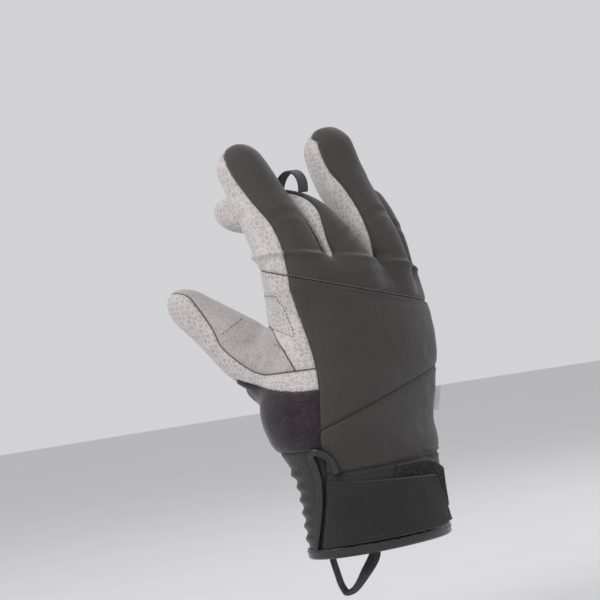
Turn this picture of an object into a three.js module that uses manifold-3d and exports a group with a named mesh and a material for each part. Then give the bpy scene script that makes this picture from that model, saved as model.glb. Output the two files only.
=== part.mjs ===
import * as THREE from 'three';
import Module from 'manifold-3d';

// Ski touring glove for a right hand, in millimetres.
// In the hand frame +Z runs from the knuckle line to the fingertips, -Y is the back of the hand
// and -X is the thumb side. The whole glove is then moved so that its hang loop's seat is the origin.

const wasm = await Module();
wasm.setup();

// Main form
const HAND_LENGTH = 165;
const HAND_WIDTH = 108;
const HAND_DEPTH = 52;
const WALL = 2.4;
const SEAM_GAP = 0.3;

// Fingers and thumb
const FINGER_WIDTH = 28;
const FINGER_DEPTH = 29;
const INDEX_LENGTH = 95;
const MIDDLE_LENGTH = 104;
const RING_LENGTH = 101;
const LITTLE_LENGTH = 66;
const THUMB_LENGTH = 112;
const THUMB_WIDTH = 31;

// Cuff and what is sewn on it
const CUFF_HEIGHT = 48;
const PALM_CUFF = 63;
const WRIST_SEAM = HAND_LENGTH - CUFF_HEIGHT;
const PALM_SEAM = HAND_LENGTH - PALM_CUFF;
const GATHER_COUNT = 6;
const GATHER_HEIGHT = 1.7;
const BINDING_HEIGHT = 5;
const BINDING_THICKNESS = 1.2;
const PIPING_WIDTH = 4.6;
const PIPING_THICKNESS = 1.8;
const STRAP_HEIGHT = 38;
const STRAP_THICKNESS = 2.4;
const STRAP_FLARE = 2;
const STRAP_START = { top: 66, hem: 78 };
const STRAP_END = { top: -22, hem: -37 };
const STRAP_NARROWING = 7;
const STRAP_HEM_RISE = 2;
const PATCH_DROP = 1.5;
const PATCH_HEIGHT = 31;
const PATCH_SLANT = 9;
const PATCH_THICKNESS = 1.5;
const LABEL_DOWN = 86;
const LABEL_HEIGHT = 14;
const LABEL_REACH = 4;
const LABEL_THICKNESS = 1;

// Webbing loops
const WEBBING_WIDTH = 12;
const WEBBING_THICKNESS = 1.4;
const PULL_LOOP_DROP = 24;
const PULL_LOOP_SPAN = 64;
const PULL_LOOP_TURN = 66;
const PULL_LOOP_TWIST = 40;
const HANG_LOOP_HEIGHT = 12;
const HANG_LOOP_SPAN = 17;
const HANG_LOOP_AT = 0.53;

// Sections of the hand from the finger roots to the hem. z is a share of the length, x, wide and
// slope belong to the width, y, deep and arch to the depth. round is the corner exponent, lean makes
// the thumb side deeper, arch cups the palm and slope drops the section towards the little finger.
const HAND = [
  { z: 0.045, x: 0.10, y: 0.02, wide: 0.20, deep: 0.12, round: 2.2, lean: 0.20, arch: 0.05, slope: -0.20 },
  { z: 0.028, x: 0.10, y: 0.02, wide: 0.44, deep: 0.30, round: 2.5, lean: 0.40, arch: 0.10, slope: -0.20 },
  { z: -0.01, x: 0.11, y: 0.03, wide: 0.485, deep: 0.41, round: 2.6, lean: 0.34, arch: 0.12, slope: -0.19 },
  { z: -0.07, x: 0.12, y: 0.04, wide: 0.505, deep: 0.47, round: 2.6, lean: 0.26, arch: 0.12, slope: -0.16 },
  { z: -0.18, x: 0.12, y: 0.05, wide: 0.53, deep: 0.52, round: 2.5, lean: 0.20, arch: 0.12, slope: -0.10 },
  { z: -0.33, x: 0.09, y: 0.07, wide: 0.56, deep: 0.57, round: 2.4, lean: 0.20, arch: 0.10, slope: -0.04 },
  { z: -0.46, x: 0.02, y: 0.08, wide: 0.575, deep: 0.61, round: 2.3, lean: 0.24, arch: 0.06, slope: 0 },
  { z: -0.58, x: -0.015, y: 0.06, wide: 0.525, deep: 0.62, round: 2.2, lean: 0.20, arch: 0.02, slope: 0 },
  { z: -0.67, x: 0.01, y: 0.03, wide: 0.475, deep: 0.60, round: 2.1, lean: 0.08, arch: 0, slope: 0 },
  { z: -0.78, x: 0, y: 0, wide: 0.44, deep: 0.60, round: 2.1, lean: 0, arch: 0, slope: 0 },
  { z: -1.00, x: 0, y: 0, wide: 0.44, deep: 0.60, round: 2.1, lean: 0, arch: 0, slope: 0 },
];
const HAND_RINGS = [
  0.045, 0.03, -0.01, -0.08, -0.15, -0.23, -0.32, -0.41, -0.49, -0.56, -0.62, -0.67,
];
const CUFF_RINGS = [-0.74, -0.8, -0.9];
const HOLLOW_CUFF_RINGS = [-0.78, -1];
const PAST_HEM = 1.06;

// Folds of the gathered side of the cuff: down as a share of the length, and the turns that they span
const GATHER_TOP = 0.675;
const GATHER_BOTTOM = 0.955;
const GATHER_TURNS = { from: 90, full: 104, fade: 178, to: 205 };
const RINGS_PER_GATHER = 3;

// Fingers and thumb. root is a share of the hand's width, depth and length. spread, pitch and roll
// turn the digit, and flex holds how far it is bent, in degrees, by share of its length. seam is the turn
// at which a finger's back ends on the thumb side, by the same share.
const STATIONS = [0, 0.22, 0.45, 0.7, 1];
const BENT_STATIONS = [0, 0.18, 0.36, 0.48, 0.6, 0.75, 1];
const INDEX_GIRTH = [
  { at: 0, girth: 1.34 }, { at: 0.3, girth: 1.24 }, { at: 0.55, girth: 1.1 }, { at: 0.8, girth: 1 },
  { at: 1, girth: 0.88 },
];
const MIDDLE_GIRTH = [
  { at: 0, girth: 1.08 }, { at: 0.5, girth: 1 }, { at: 0.75, girth: 0.86 }, { at: 1, girth: 0.66 },
];
const RING_GIRTH = [
  { at: 0, girth: 1 }, { at: 0.5, girth: 1.04 }, { at: 0.8, girth: 1.08 }, { at: 1, girth: 0.92 },
];
const LITTLE_GIRTH = [
  { at: 0, girth: 1 }, { at: 0.5, girth: 1 }, { at: 0.8, girth: 0.96 }, { at: 1, girth: 0.86 },
];
const THUMB_GIRTH = [
  { at: 0, girth: 1.34 }, { at: 0.25, girth: 1.3 }, { at: 0.5, girth: 1.16 },
  { at: 0.75, girth: 0.89 }, { at: 0.9, girth: 0.73 }, { at: 1, girth: 0.62 },
];
const DIGITS = {
  index: {
    root: [-0.27, 0.06, -0.036], spread: 4, pitch: 0, roll: 4, stations: STATIONS,
    length: INDEX_LENGTH, girth: INDEX_GIRTH, width: FINGER_WIDTH * 1.02, depth: FINGER_DEPTH * 1.05,
    flex: [{ at: 0, bend: 6 }, { at: 0.3, bend: 20 }, { at: 0.6, bend: 24 }, { at: 1, bend: 30 }],
    seam: [{ at: 0, turn: 57 }, { at: 0.15, turn: 52 }, { at: 0.38, turn: 50 }, { at: 0.6, turn: 66 },
      { at: 0.8, turn: 76 }, { at: 1, turn: 72 }],
  },
  middle: {
    root: [0.02, -0.17, -0.024], spread: 2, pitch: 0, roll: 24, stations: BENT_STATIONS,
    length: MIDDLE_LENGTH, girth: MIDDLE_GIRTH, width: FINGER_WIDTH, depth: FINGER_DEPTH,
    flex: [{ at: 0, bend: 24 }, { at: 0.25, bend: 34 }, { at: 0.42, bend: 46 }, { at: 0.52, bend: 70 },
      { at: 0.62, bend: 80 }, { at: 1, bend: 75 }],
    seam: [{ at: 0, turn: 82 }, { at: 0.1, turn: 76 }, { at: 0.2, turn: 67 }, { at: 0.3, turn: 46 },
      { at: 0.38, turn: 26 }, { at: 0.48, turn: 17 }, { at: 1, turn: 20 }],
  },
  ring: {
    root: [0.32, -0.10, -0.036], spread: 2, pitch: 0, roll: 0, stations: STATIONS,
    length: RING_LENGTH, girth: RING_GIRTH, width: FINGER_WIDTH, depth: FINGER_DEPTH,
    flex: [{ at: 0, bend: 12 }, { at: 0.25, bend: 24 }, { at: 0.5, bend: 29 }, { at: 0.75, bend: 18 },
      { at: 1, bend: 4 }],
    seam: [{ at: 0, turn: 62 }, { at: 0.1, turn: 61 }, { at: 0.2, turn: 52 }, { at: 0.37, turn: 45 },
      { at: 0.56, turn: 48 }, { at: 0.7, turn: 60 }, { at: 1, turn: 66 }],
  },
  little: {
    root: [0.475, 0.13, -0.085], spread: -2, pitch: 0, roll: -4, stations: STATIONS,
    length: LITTLE_LENGTH, girth: LITTLE_GIRTH, width: FINGER_WIDTH * 0.88, depth: FINGER_DEPTH * 0.86,
    flex: [{ at: 0, bend: 10 }, { at: 0.4, bend: 18 }, { at: 0.7, bend: 34 }, { at: 1, bend: 44 }],
    seam: [{ at: 0, turn: 112 }, { at: 1, turn: 112 }],
  },
  thumb: {
    root: [-0.20, 0.27, -0.47], spread: 30, pitch: 36, roll: -60, stations: STATIONS,
    length: THUMB_LENGTH, girth: THUMB_GIRTH, width: THUMB_WIDTH, depth: THUMB_WIDTH * 0.94,
    flex: [{ at: 0, bend: 6 }, { at: 0.5, bend: 0 }, { at: 1, bend: -6 }],
  },
};
const TIP_STATIONS = [0.5, 0.8, 0.98];
const ROOT_SINK = 0.55;
const ROOT_TAPER = 2;
const TIP_ROUND = 0.48;
const HAND_SIDES = 24;
const DIGIT_SIDES = 12;
const INNER_SIDES = 8;

// Seams. Angles are turns about the hand's or a digit's middle line, from its back towards the thumb side.
// Heights are shares of the length, and a zone reaches a few millimetres past the surface that it cuts.
// Plane seams are straight as seen at SEAM_VIEW degrees from the back, towards the thumb side.
const SEAM_VIEW = 40;
const BACK_EDGE = [
  { z: 0.05, turn: 70 }, { z: -0.05, turn: 70 }, { z: -0.11, turn: 71 }, { z: -0.18, turn: 69 },
  { z: -0.24, turn: 63.5 }, { z: -0.31, turn: 58 }, { z: -0.42, turn: 52 }, { z: -0.51, turn: 53 },
  { z: -0.6, turn: 59 }, { z: -0.69, turn: 66 }, { z: -0.8, turn: 75 }, { z: -1, turn: 89 },
];
const BACK_SEAM_LITTLE_SIDE = -72;
const BACK_TOP = 0.012;
const LITTLE_SIDE_SEAM = -60;
const KNUCKLE_SEAM = { z: -0.055, tilt: -0.336 };
const BACK_SEAM = { z: -0.502, tilt: 0.327 };
const ZONE_REACH = 1.6;
const UNDERLAP = 10;
const HAND_ZONE_REACH = 6;
const THUMB_SEAM = { across: -0.921, up: -0.39, at: 0.32 };
const THUMB_FOOT = { across: 0.418, up: 0.908, at: -0.483 };
const THUMB_BAND = { to: 106, start: 0.22 };
const THUMB_BAND_EDGE = [
  { at: 0.22, turn: 0 }, { at: 0.4, turn: 1 }, { at: 0.52, turn: 3 }, { at: 0.6, turn: -1 },
  { at: 0.67, turn: -16 }, { at: 0.75, turn: -30 }, { at: 0.84, turn: -47 }, { at: 0.92, turn: -64 },
  { at: 1, turn: -66 },
];
const BAND_STRIP = { top: -0.341, bottom: -0.41, to: 132 };
const WRIST_PANEL = { overlap: 0.06, to: 158 };

// Route of the piping: turn about the cuff, and down as a share of the length
const PIPING_ROUTE = [
  { turn: 56, down: 0.71 }, { turn: 56, down: 0.665 }, { turn: 60, down: 0.634 },
  { turn: 66, down: 0.624 }, { turn: 71, down: 0.64 }, { turn: 72.5, down: 0.68 },
  { turn: 74, down: 0.74 }, { turn: 81, down: 0.85 }, { turn: 92, down: 1 },
];
const PIPING_LIFT = 3 * SEAM_GAP;
const PIPING_END = 1.4;

// The flap climbs over the loop patch and lifts at its hem, by share of its own length. The patch runs
// between two turns and ends in a point, as many degrees long, at a share of its height. Its top comes
// down by the slant between two shares of its length.
const STRAP_CLIMB = { from: 0.3, to: 0.55 };
const STRAP_LIFT_FROM = 0.85;
const PATCH_TURNS = { point: 10, end: -116 };
const PATCH_POINT = { reach: 12, at: 0.3 };
const PATCH_SLANTS = { from: 0.15, to: 0.6 };
const LABEL_TURN = -67;

// Route of the pull loop: across is a share of its span and down one of its drop, 0 at its tucked ends.
// It twists between two shares of its own length.
const PULL_LOOP_ROUTE = [
  { across: 0, down: 0 }, { across: 0, down: 0.08 }, { across: 0.05, down: 0.45 },
  { across: 0.12, down: 0.82 }, { across: 0.22, down: 1 }, { across: 0.42, down: 0.94 },
  { across: 0.7, down: 0.6 }, { across: 1, down: 0.12 }, { across: 1, down: 0 },
];
const PULL_LOOP_TWISTS = { from: 0.4, to: 0.9 };
const TUCK_CLEARANCE = 1;

// Steps along swept pieces
const ZONE_STEP = 5;
const ARC_STEPS = 6;
const LINE_STEPS = 40;
const STRAP_STEPS = 20;
const PATCH_STEPS = 16;
const PIPING_STEPS = 26;
const PULL_LOOP_STEPS = 28;
const HANG_LOOP_STEPS = 14;

const rad = THREE.MathUtils.degToRad;
const smooth = THREE.MathUtils.smoothstep;
const vec = (x, y, z) => new THREE.Vector3(x, y, z);
const palette = (color, roughness) => new THREE.MeshStandardMaterial({ color, roughness, metalness: 0 });
const SOFTSHELL = palette(0x3f3d3c, 0.85);
const HEATHER = palette(0xb9b1b0, 0.9);
const KNIT = palette(0x3a3037, 0.95);
const BINDING = palette(0x151516, 0.35);
const WEBBING = palette(0x1b1b1c, 0.7);
const FUZZY = palette(0x101011, 1);
const LABEL = palette(0xd9dadb, 0.6);

// A value of a table's column between its rows, on a smooth curve through them.
function between(rows, key, column, at) {
  const up = rows[rows.length - 1][key] > rows[0][key] ? 1 : -1;
  let i = 0;
  while (i < rows.length - 2 && (at - rows[i + 1][key]) * up > 0) i += 1;
  const tangent = (k) => {
    const a = rows[Math.max(k - 1, 0)];
    const b = rows[Math.min(k + 1, rows.length - 1)];
    return (b[column] - a[column]) / (b[key] - a[key]);
  };
  const span = rows[i + 1][key] - rows[i][key];
  const t = THREE.MathUtils.clamp((at - rows[i][key]) / span, 0, 1);
  const rise = rows[i + 1][column] - rows[i][column];
  const a = tangent(i) * span - rise;
  const b = rise - tangent(i + 1) * span;
  return rows[i][column] + rise * t + t * (1 - t) * (a * (1 - t) + b * t);
}

// Closed solid through rings of points, each with the same number of points, with flat or domed ends.
function loft(rings) {
  const n = rings[0].length;
  const points = rings.flat();
  const middle = (ring) => ring.reduce((sum, p) => sum.add(p), vec(0, 0, 0)).divideScalar(ring.length);
  points.push(middle(rings[0]), middle(rings[rings.length - 1]));
  const triangles = [];
  rings.slice(1).forEach((_, r) => {
    for (let i = 0; i < n; i += 1) {
      const [a, b, c, d] = [r * n + i, r * n + ((i + 1) % n), (r + 1) * n + i, (r + 1) * n + ((i + 1) % n)];
      triangles.push(a, c, b, b, c, d);
    }
  });
  const last = (rings.length - 1) * n;
  for (let i = 0; i < n; i += 1) {
    triangles.push(rings.length * n, i, (i + 1) % n);
    triangles.push(rings.length * n + 1, last + ((i + 1) % n), last + i);
  }
  return closed(points, triangles);
}

// Manifold solid from points and triangles, turned so that its faces point out.
function closed(points, triangles) {
  const volume = (t) => points[t[0]].dot(points[t[1]].clone().cross(points[t[2]]));
  let six = 0;
  for (let i = 0; i < triangles.length; i += 3) six += volume(triangles.slice(i, i + 3));
  const triVerts = Uint32Array.from(triangles);
  if (six < 0) triVerts.reverse();
  const vertProperties = Float32Array.from(points.flatMap((p) => [p.x, p.y, p.z]));
  return new wasm.Manifold(new wasm.Mesh({ numProp: 3, vertProperties, triVerts }));
}

// Closed sheet with a thickness: place(u, v, w) with w 0 on its inner and 1 on its outer face.
function sheet(place, uCount, vCount) {
  const rings = [];
  for (let i = 0; i <= uCount; i += 1) {
    const ring = [];
    for (let j = 0; j <= vCount; j += 1) ring.push(place(i / uCount, j / vCount, 0));
    for (let j = vCount; j >= 0; j -= 1) ring.push(place(i / uCount, j / vCount, 1));
    rings.push(ring);
  }
  return strips(rings);
}

// As loft, with ends filled in strips so that a bent section keeps its form.
function strips(rings) {
  const n = rings[0].length;
  const triangles = [];
  for (let r = 0; r < rings.length - 1; r += 1) {
    for (let i = 0; i < n; i += 1) {
      const [a, b, c, d] = [r * n + i, r * n + ((i + 1) % n), (r + 1) * n + i, (r + 1) * n + ((i + 1) % n)];
      triangles.push(a, c, b, b, c, d);
    }
  }
  const last = (rings.length - 1) * n;
  for (let j = 0; j < n / 2 - 1; j += 1) {
    const [a, b, c, d] = [j, j + 1, n - 1 - j, n - 2 - j];
    triangles.push(a, b, c, b, d, c);
    triangles.push(last + a, last + c, last + b, last + b, last + c, last + d);
  }
  return closed(rings.flat(), triangles);
}

// Hand sections
function handRow(share) {
  const row = {};
  Object.keys(HAND[0]).forEach((column) => { row[column] = between(HAND, 'z', column, share); });
  return row;
}

function flatPoint(row, turn, grow) {
  const power = (value) => Math.sign(value) * Math.abs(value) ** (2 / row.round);
  const X = -power(Math.sin(rad(turn)));
  const Y = -power(Math.cos(rad(turn)));
  const x = (row.x + row.wide * X) * HAND_WIDTH + grow * X;
  const y = (row.y + row.deep * Y * (1 - row.lean * X) + row.arch * X * X) * HAND_DEPTH + grow * Y;
  return { x, y };
}

const lift = (row, share, p) => vec(p.x, p.y, share * HAND_LENGTH + row.slope * p.x);

function onHand(share, turn, grow) {
  const row = handRow(share);
  return lift(row, share, flatPoint(row, turn, grow));
}

// Folds of the gathered side of the cuff
function gather(share, turn) {
  const down = (-share - GATHER_TOP) / (GATHER_BOTTOM - GATHER_TOP);
  if (down <= 0 || down >= 1) return 0;
  const { from, full, fade, to } = GATHER_TURNS;
  const around = smooth(turn, from, full) * (1 - smooth(turn, fade, to));
  return GATHER_HEIGHT * around * (0.5 - 0.5 * Math.cos(2 * Math.PI * GATHER_COUNT * down));
}

function handSolid(grow, sides, shares) {
  const step = 360 / sides;
  return loft(shares.map((share) => Array.from({ length: sides }, (_, i) => {
    const turn = i * step;
    return onHand(share, turn, grow < 0 ? grow : gather(share, turn));
  })));
}

// Middle line of a digit, with its side and back directions
function middleLine(digit) {
  const [s, p, r] = [digit.spread, digit.pitch, digit.roll].map(rad);
  const up = vec(-Math.sin(s) * Math.cos(p), Math.sin(p), Math.cos(s) * Math.cos(p));
  const flatSide = vec(Math.cos(s), 0, Math.sin(s));
  const flatPalm = vec(Math.sin(s) * Math.sin(p), Math.cos(p), -Math.cos(s) * Math.sin(p));
  const side = flatSide.clone().multiplyScalar(Math.cos(r)).addScaledVector(flatPalm, Math.sin(r));
  const palm = flatPalm.clone().multiplyScalar(Math.cos(r)).addScaledVector(flatSide, -Math.sin(r));
  const [x, y, z] = digit.root;
  const point = vec(x * HAND_WIDTH, y * HAND_DEPTH, z * HAND_LENGTH);
  const frames = [];
  for (let i = 0; i <= LINE_STEPS; i += 1) {
    const bend = rad(between(digit.flex, 'at', 'bend', i / LINE_STEPS));
    const along = up.clone().multiplyScalar(Math.cos(bend)).addScaledVector(palm, Math.sin(bend));
    const out = up.clone().multiplyScalar(Math.sin(bend)).addScaledVector(palm, -Math.cos(bend));
    frames.push({ point: point.clone(), along, out, side });
    point.addScaledVector(along, digit.length / LINE_STEPS);
  }
  return (distance) => {
    const place = (distance / digit.length) * LINE_STEPS;
    const i = THREE.MathUtils.clamp(Math.floor(place), 0, LINE_STEPS - 1);
    const t = THREE.MathUtils.clamp(place - i, 0, 1);
    const [a, b] = [frames[i], frames[i + 1]];
    const along = a.along.clone().lerp(b.along, t).normalize();
    const past = distance - ((i + t) * digit.length) / LINE_STEPS;
    return {
      point: a.point.clone().lerp(b.point, t).addScaledVector(along, past),
      along, side, out: a.out.clone().lerp(b.out, t).normalize(),
    };
  };
}

function onSection(frame, side, out) {
  return frame.point.clone().addScaledVector(frame.side, side).addScaledVector(frame.out, out);
}

function halfSizes(digit, distance, grow) {
  const share = THREE.MathUtils.clamp(distance / digit.length, 0, 1);
  const sunk = 1 + Math.min(distance, 0) / (ROOT_TAPER * digit.width);
  const girth = between(digit.girth, 'at', 'girth', share) * sunk;
  return [digit.width / 2 * girth + grow, digit.depth / 2 * girth + grow];
}

// Stations along a digit, closer in its outer half and round its tip
function stationsOf(digit, grow, start) {
  const cap = TIP_ROUND * digit.width + grow;
  const straight = digit.length + grow - cap;
  const plain = digit.stations.map((share) => share * straight).filter((at) => at > start + 1);
  const round = TIP_STATIONS.map((q) => ({ at: straight + q * cap, round: Math.sqrt(1 - q * q) }));
  return [start, ...plain].map((at) => ({ at, round: 1 })).concat(round);
}

function digitSolid(digit, grow, sides, start) {
  const line = middleLine(digit);
  const stations = stationsOf(digit, grow, start);
  return loft(stations.map(({ at, round }) => {
    const [a, b] = halfSizes(digit, at, grow);
    const frame = line(at);
    return Array.from({ length: sides }, (_, i) => {
      const turn = 2 * Math.PI * i / sides;
      return onSection(frame, a * round * Math.sin(turn), b * round * Math.cos(turn));
    });
  }));
}

// Flat fan from a centre to an arc, with its two straight edges moved out by a gap
function fan(centre, arc, gap) {
  const c = new THREE.Vector2(centre.x, centre.y);
  const middle = new THREE.Vector2().copy(arc[Math.floor(arc.length / 2)]).sub(c);
  const edge = (p) => {
    const e = new THREE.Vector2(p.x, p.y).sub(c).normalize();
    const n = new THREE.Vector2(-e.y, e.x);
    return n.dot(middle) > 0 ? n.negate() : n;
  };
  const [n0, n1] = [edge(arc[0]), edge(arc[arc.length - 1])];
  const corner = n0.clone().add(n1).multiplyScalar(gap / (1 + n0.dot(n1)));
  const moved = arc.map((p, i) => {
    const n = i === 0 ? n0 : n1;
    const push = i === 0 || i === arc.length - 1 ? gap : 0;
    return new THREE.Vector2(p.x, p.y).addScaledVector(n, push);
  });
  return [c.add(corner), ...moved];
}

const backEdge = (share) => between(BACK_EDGE, 'z', 'turn', share);

// Part of the space round the hand between two turns, from one section to another. The first turn is
// counted from the edge of the back.
function handZone(from, to, top, bottom, gap) {
  const pad = gap / HAND_LENGTH;
  const inside = HAND_RINGS.concat(CUFF_RINGS).filter((share) => share < top && share > bottom);
  const shares = [top + pad, ...inside, bottom - pad];
  return loft(shares.map((share) => {
    const row = handRow(share);
    const centre = { x: row.x * HAND_WIDTH, y: row.y * HAND_DEPTH };
    const start = backEdge(share) + from;
    const arc = Array.from({ length: ARC_STEPS + 1 }, (_, i) => (
      flatPoint(row, start + (to - start) * i / ARC_STEPS, HAND_ZONE_REACH + gap)));
    return fan(centre, arc, gap).map((p) => lift(row, share, p));
  }));
}

// Part of the space round a digit between a seam, a table of turns by share of its length, and a turn
function digitZone(digit, seam, to, start, gap) {
  const line = middleLine(digit);
  const plain = stationsOf(digit, 0, start - gap).filter(({ round }) => round === 1);
  const knots = seam.map((row) => ({ at: row.at * digit.length })).filter(({ at }) => at > start + ZONE_REACH);
  const end = { at: digit.length + ZONE_REACH * 2 + gap };
  const stations = [...plain, ...knots, end].sort((p, q) => p.at - q.at)
    .filter(({ at }, i, all) => i === 0 || at - all[i - 1].at > ZONE_STEP);
  return loft(stations.map(({ at }) => {
    const frame = line(at);
    const [a, b] = halfSizes(digit, at, ZONE_REACH + gap);
    const share = THREE.MathUtils.clamp(at / digit.length, seam[0].at, 1);
    const from = between(seam, 'at', 'turn', share);
    const arc = Array.from({ length: ARC_STEPS + 1 }, (_, i) => {
      const turn = -rad(from + (to - from) * i / ARC_STEPS);
      return { x: a * Math.sin(turn), y: b * Math.cos(turn) };
    });
    return fan({ x: 0, y: 0 }, arc, gap).map((p) => onSection(frame, p.x, p.y));
  }));
}

const FAR = 3 * HAND_LENGTH;
const SEEN_ACROSS = { x: Math.cos(rad(SEAM_VIEW)), y: -Math.sin(rad(SEAM_VIEW)) };

// Everything below a plane that tilts to the right as SEAM_VIEW shows it
function below(height, tilt) {
  const corners = [[-FAR, -FAR], [FAR, -FAR], [FAR, FAR], [-FAR, FAR]];
  const floor = corners.map(([x, y]) => vec(x, y, -FAR * 3));
  const rise = ([x, y]) => tilt * (x * SEEN_ACROSS.x + y * SEEN_ACROSS.y);
  return loft([floor, corners.map((corner) => vec(...corner, height + rise(corner)))]);
}

// Everything on the far side of a plane given by its slope as SEAM_VIEW shows it
function beyond({ across, up, at }, gap) {
  const normal = [across * SEEN_ACROSS.x, across * SEEN_ACROSS.y, up];
  return wasm.Manifold.cube([2 * FAR, 2 * FAR, 2 * FAR], true).trimByPlane(normal, at * HAND_LENGTH - gap);
}

const digits = Object.values(DIGITS);
const rootStart = (digit) => -ROOT_SINK * digit.width;
const fuse = (solids) => solids.reduce((sum, solid) => sum.add(solid));

// The hollow shell of hand, fingers, thumb and cuff
function makeShell() {
  const gatherShares = Array.from({ length: GATHER_COUNT * RINGS_PER_GATHER + 1 },
    (_, i) => -(GATHER_TOP + (GATHER_BOTTOM - GATHER_TOP) * i / (GATHER_COUNT * RINGS_PER_GATHER)));
  const outer = handSolid(0, HAND_SIDES, HAND_RINGS.slice(0, -1).concat(gatherShares, [-1]));
  const innerShares = HAND_RINGS.slice(1).map((share, i) => (i === 0 ? share - WALL / HAND_LENGTH : share));
  const inner = handSolid(-WALL, HAND_SIDES, innerShares.concat(HOLLOW_CUFF_RINGS, [-PAST_HEM]));
  const skins = digits.map((digit) => digitSolid(digit, 0, DIGIT_SIDES, rootStart(digit)));
  const hollows = digits.map((digit) => digitSolid(digit, -WALL, INNER_SIDES, rootStart(digit) - WALL));
  return fuse([outer, ...skins]).subtract(fuse([inner, ...hollows]));
}

function backZone(gap) {
  const fingers = [DIGITS.index, DIGITS.middle, DIGITS.ring, DIGITS.little];
  const hand = handZone(0, BACK_SEAM_LITTLE_SIDE, BACK_TOP, -PAST_HEM, gap);
  const zone = (digit) => digitZone(digit, digit.seam, LITTLE_SIDE_SEAM, rootStart(digit), gap);
  return fuse([hand, ...fingers.map(zone)]);
}

// Everything above the lower edge of the thumb's band
function aboveFoot(gap) {
  return beyond(THUMB_FOOT, gap).subtract(below(BAND_STRIP.bottom * HAND_LENGTH - gap, 0));
}

function bandZone(gap) {
  const { to, start } = THUMB_BAND;
  const band = digitZone(DIGITS.thumb, THUMB_BAND_EDGE, to, start * THUMB_LENGTH, gap);
  const strip = handZone(-UNDERLAP, BAND_STRIP.to, BAND_STRIP.top, BAND_STRIP.bottom, gap);
  return band.add(strip).intersect(aboveFoot(gap));
}

// The largest body of a cut, without crumbs left beside it
function main(solid) {
  return solid.decompose().sort((a, b) => b.volume() - a.volume())[0];
}

function makePanels() {
  const half = SEAM_GAP / 2;
  const shell = makeShell();
  const back = shell.intersect(backZone(-half));
  const knuckles = (gap) => below(KNUCKLE_SEAM.z * HAND_LENGTH + gap, KNUCKLE_SEAM.tilt);
  const diagonal = (gap) => below(BACK_SEAM.z * HAND_LENGTH + gap, BACK_SEAM.tilt);
  const wrist = (gap) => below(-WRIST_SEAM + gap, 0);
  const palmEnd = (gap) => below(-PALM_SEAM + gap, 0);
  const thumbZone = (gap) => beyond(THUMB_SEAM, gap).intersect(aboveFoot(gap));
  const wristTop = BAND_STRIP.bottom + WRIST_PANEL.overlap;
  const wristZone = (gap) => handZone(-UNDERLAP, WRIST_PANEL.to, wristTop, -PALM_SEAM / HAND_LENGTH, gap);
  const front = shell.subtract(backZone(half));
  const noBand = front.subtract(bandZone(half));
  const noThumb = noBand.subtract(thumbZone(half));
  const plain = noThumb.subtract(wristZone(half));
  return {
    finger_backs: back.subtract(knuckles(half)),
    hand_back: back.intersect(knuckles(-half)).subtract(diagonal(half)),
    wrist_back: back.intersect(diagonal(-half)).subtract(wrist(half)),
    cuff_back: back.intersect(wrist(-half)),
    thumb_band: front.intersect(bandZone(-half)),
    thumb_panel: noBand.intersect(thumbZone(-half)),
    wrist_panel: noThumb.intersect(wristZone(-half)),
    finger_fronts: plain.subtract(knuckles(half)),
    palm: plain.intersect(knuckles(-half)).subtract(palmEnd(half)),
    cuff_palm: plain.intersect(palmEnd(-half)),
  };
}

// Flat ribbon along a path of points, each with the direction across it and the one out of its face
function ribbon(stations, width, thickness) {
  const corners = [[-1, 0], [1, 0], [1, 1], [-1, 1]];
  const rings = stations.map(({ point, across, out }) => corners.map(([side, height]) => (
    point.clone().addScaledVector(across, side * width / 2).addScaledVector(out, height * thickness))));
  return strips(rings);
}

function smoothLine(points, count) {
  return new THREE.CatmullRomCurve3(points, false, 'centripetal').getPoints(count);
}

// Piping round the notch at the wrist and down the side of the slit, as turns and heights on the cuff
function slitBinding() {
  const hemEdge = HAND_LENGTH - BINDING_HEIGHT - PIPING_END;
  const flat = PIPING_ROUTE.map(({ turn, down }) => vec(turn, Math.min(down * HAND_LENGTH, hemEdge), 0));
  const route = smoothLine(flat, PIPING_STEPS);
  const grow = PIPING_LIFT;
  const place = (p, lifted) => onHand(-p.y / HAND_LENGTH, p.x, lifted);
  const stations = route.map((p, i) => {
    const [a, b] = [route[Math.max(i - 1, 0)], route[Math.min(i + 1, route.length - 1)]];
    const along = place(b, grow).sub(place(a, grow)).normalize();
    const out = place(p, grow + 1).sub(place(p, grow)).normalize();
    return { point: place(p, grow), across: along.clone().cross(out).normalize(), out };
  });
  return ribbon(stations, PIPING_WIDTH, PIPING_THICKNESS);
}

// Folded tape round the hem
function hemBinding() {
  const outside = SEAM_GAP;
  const inside = -WALL - SEAM_GAP;
  const top = -HAND_LENGTH + BINDING_HEIGHT;
  const foot = -HAND_LENGTH - SEAM_GAP;
  const [inner, outer] = [inside - BINDING_THICKNESS, outside + BINDING_THICKNESS];
  const sole = foot - BINDING_THICKNESS;
  const profile = [
    [outside, top], [outside, foot], [inside, foot], [inside, top],
    [inner, top], [inner, sole], [outer, sole], [outer, top],
  ];
  const count = HAND_SIDES;
  const points = [];
  const triangles = [];
  for (let i = 0; i < count; i += 1) {
    profile.forEach(([grow, z], j) => {
      const p = onHand(-1, 360 * i / count, grow);
      points.push(vec(p.x, p.y, z));
      const next = ((i + 1) % count) * profile.length;
      const [a, b] = [i * profile.length + j, i * profile.length + (j + 1) % profile.length];
      const [c, d] = [next + j, next + (j + 1) % profile.length];
      triangles.push(a, b, c, b, d, c);
    });
  }
  return closed(points, triangles);
}

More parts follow.
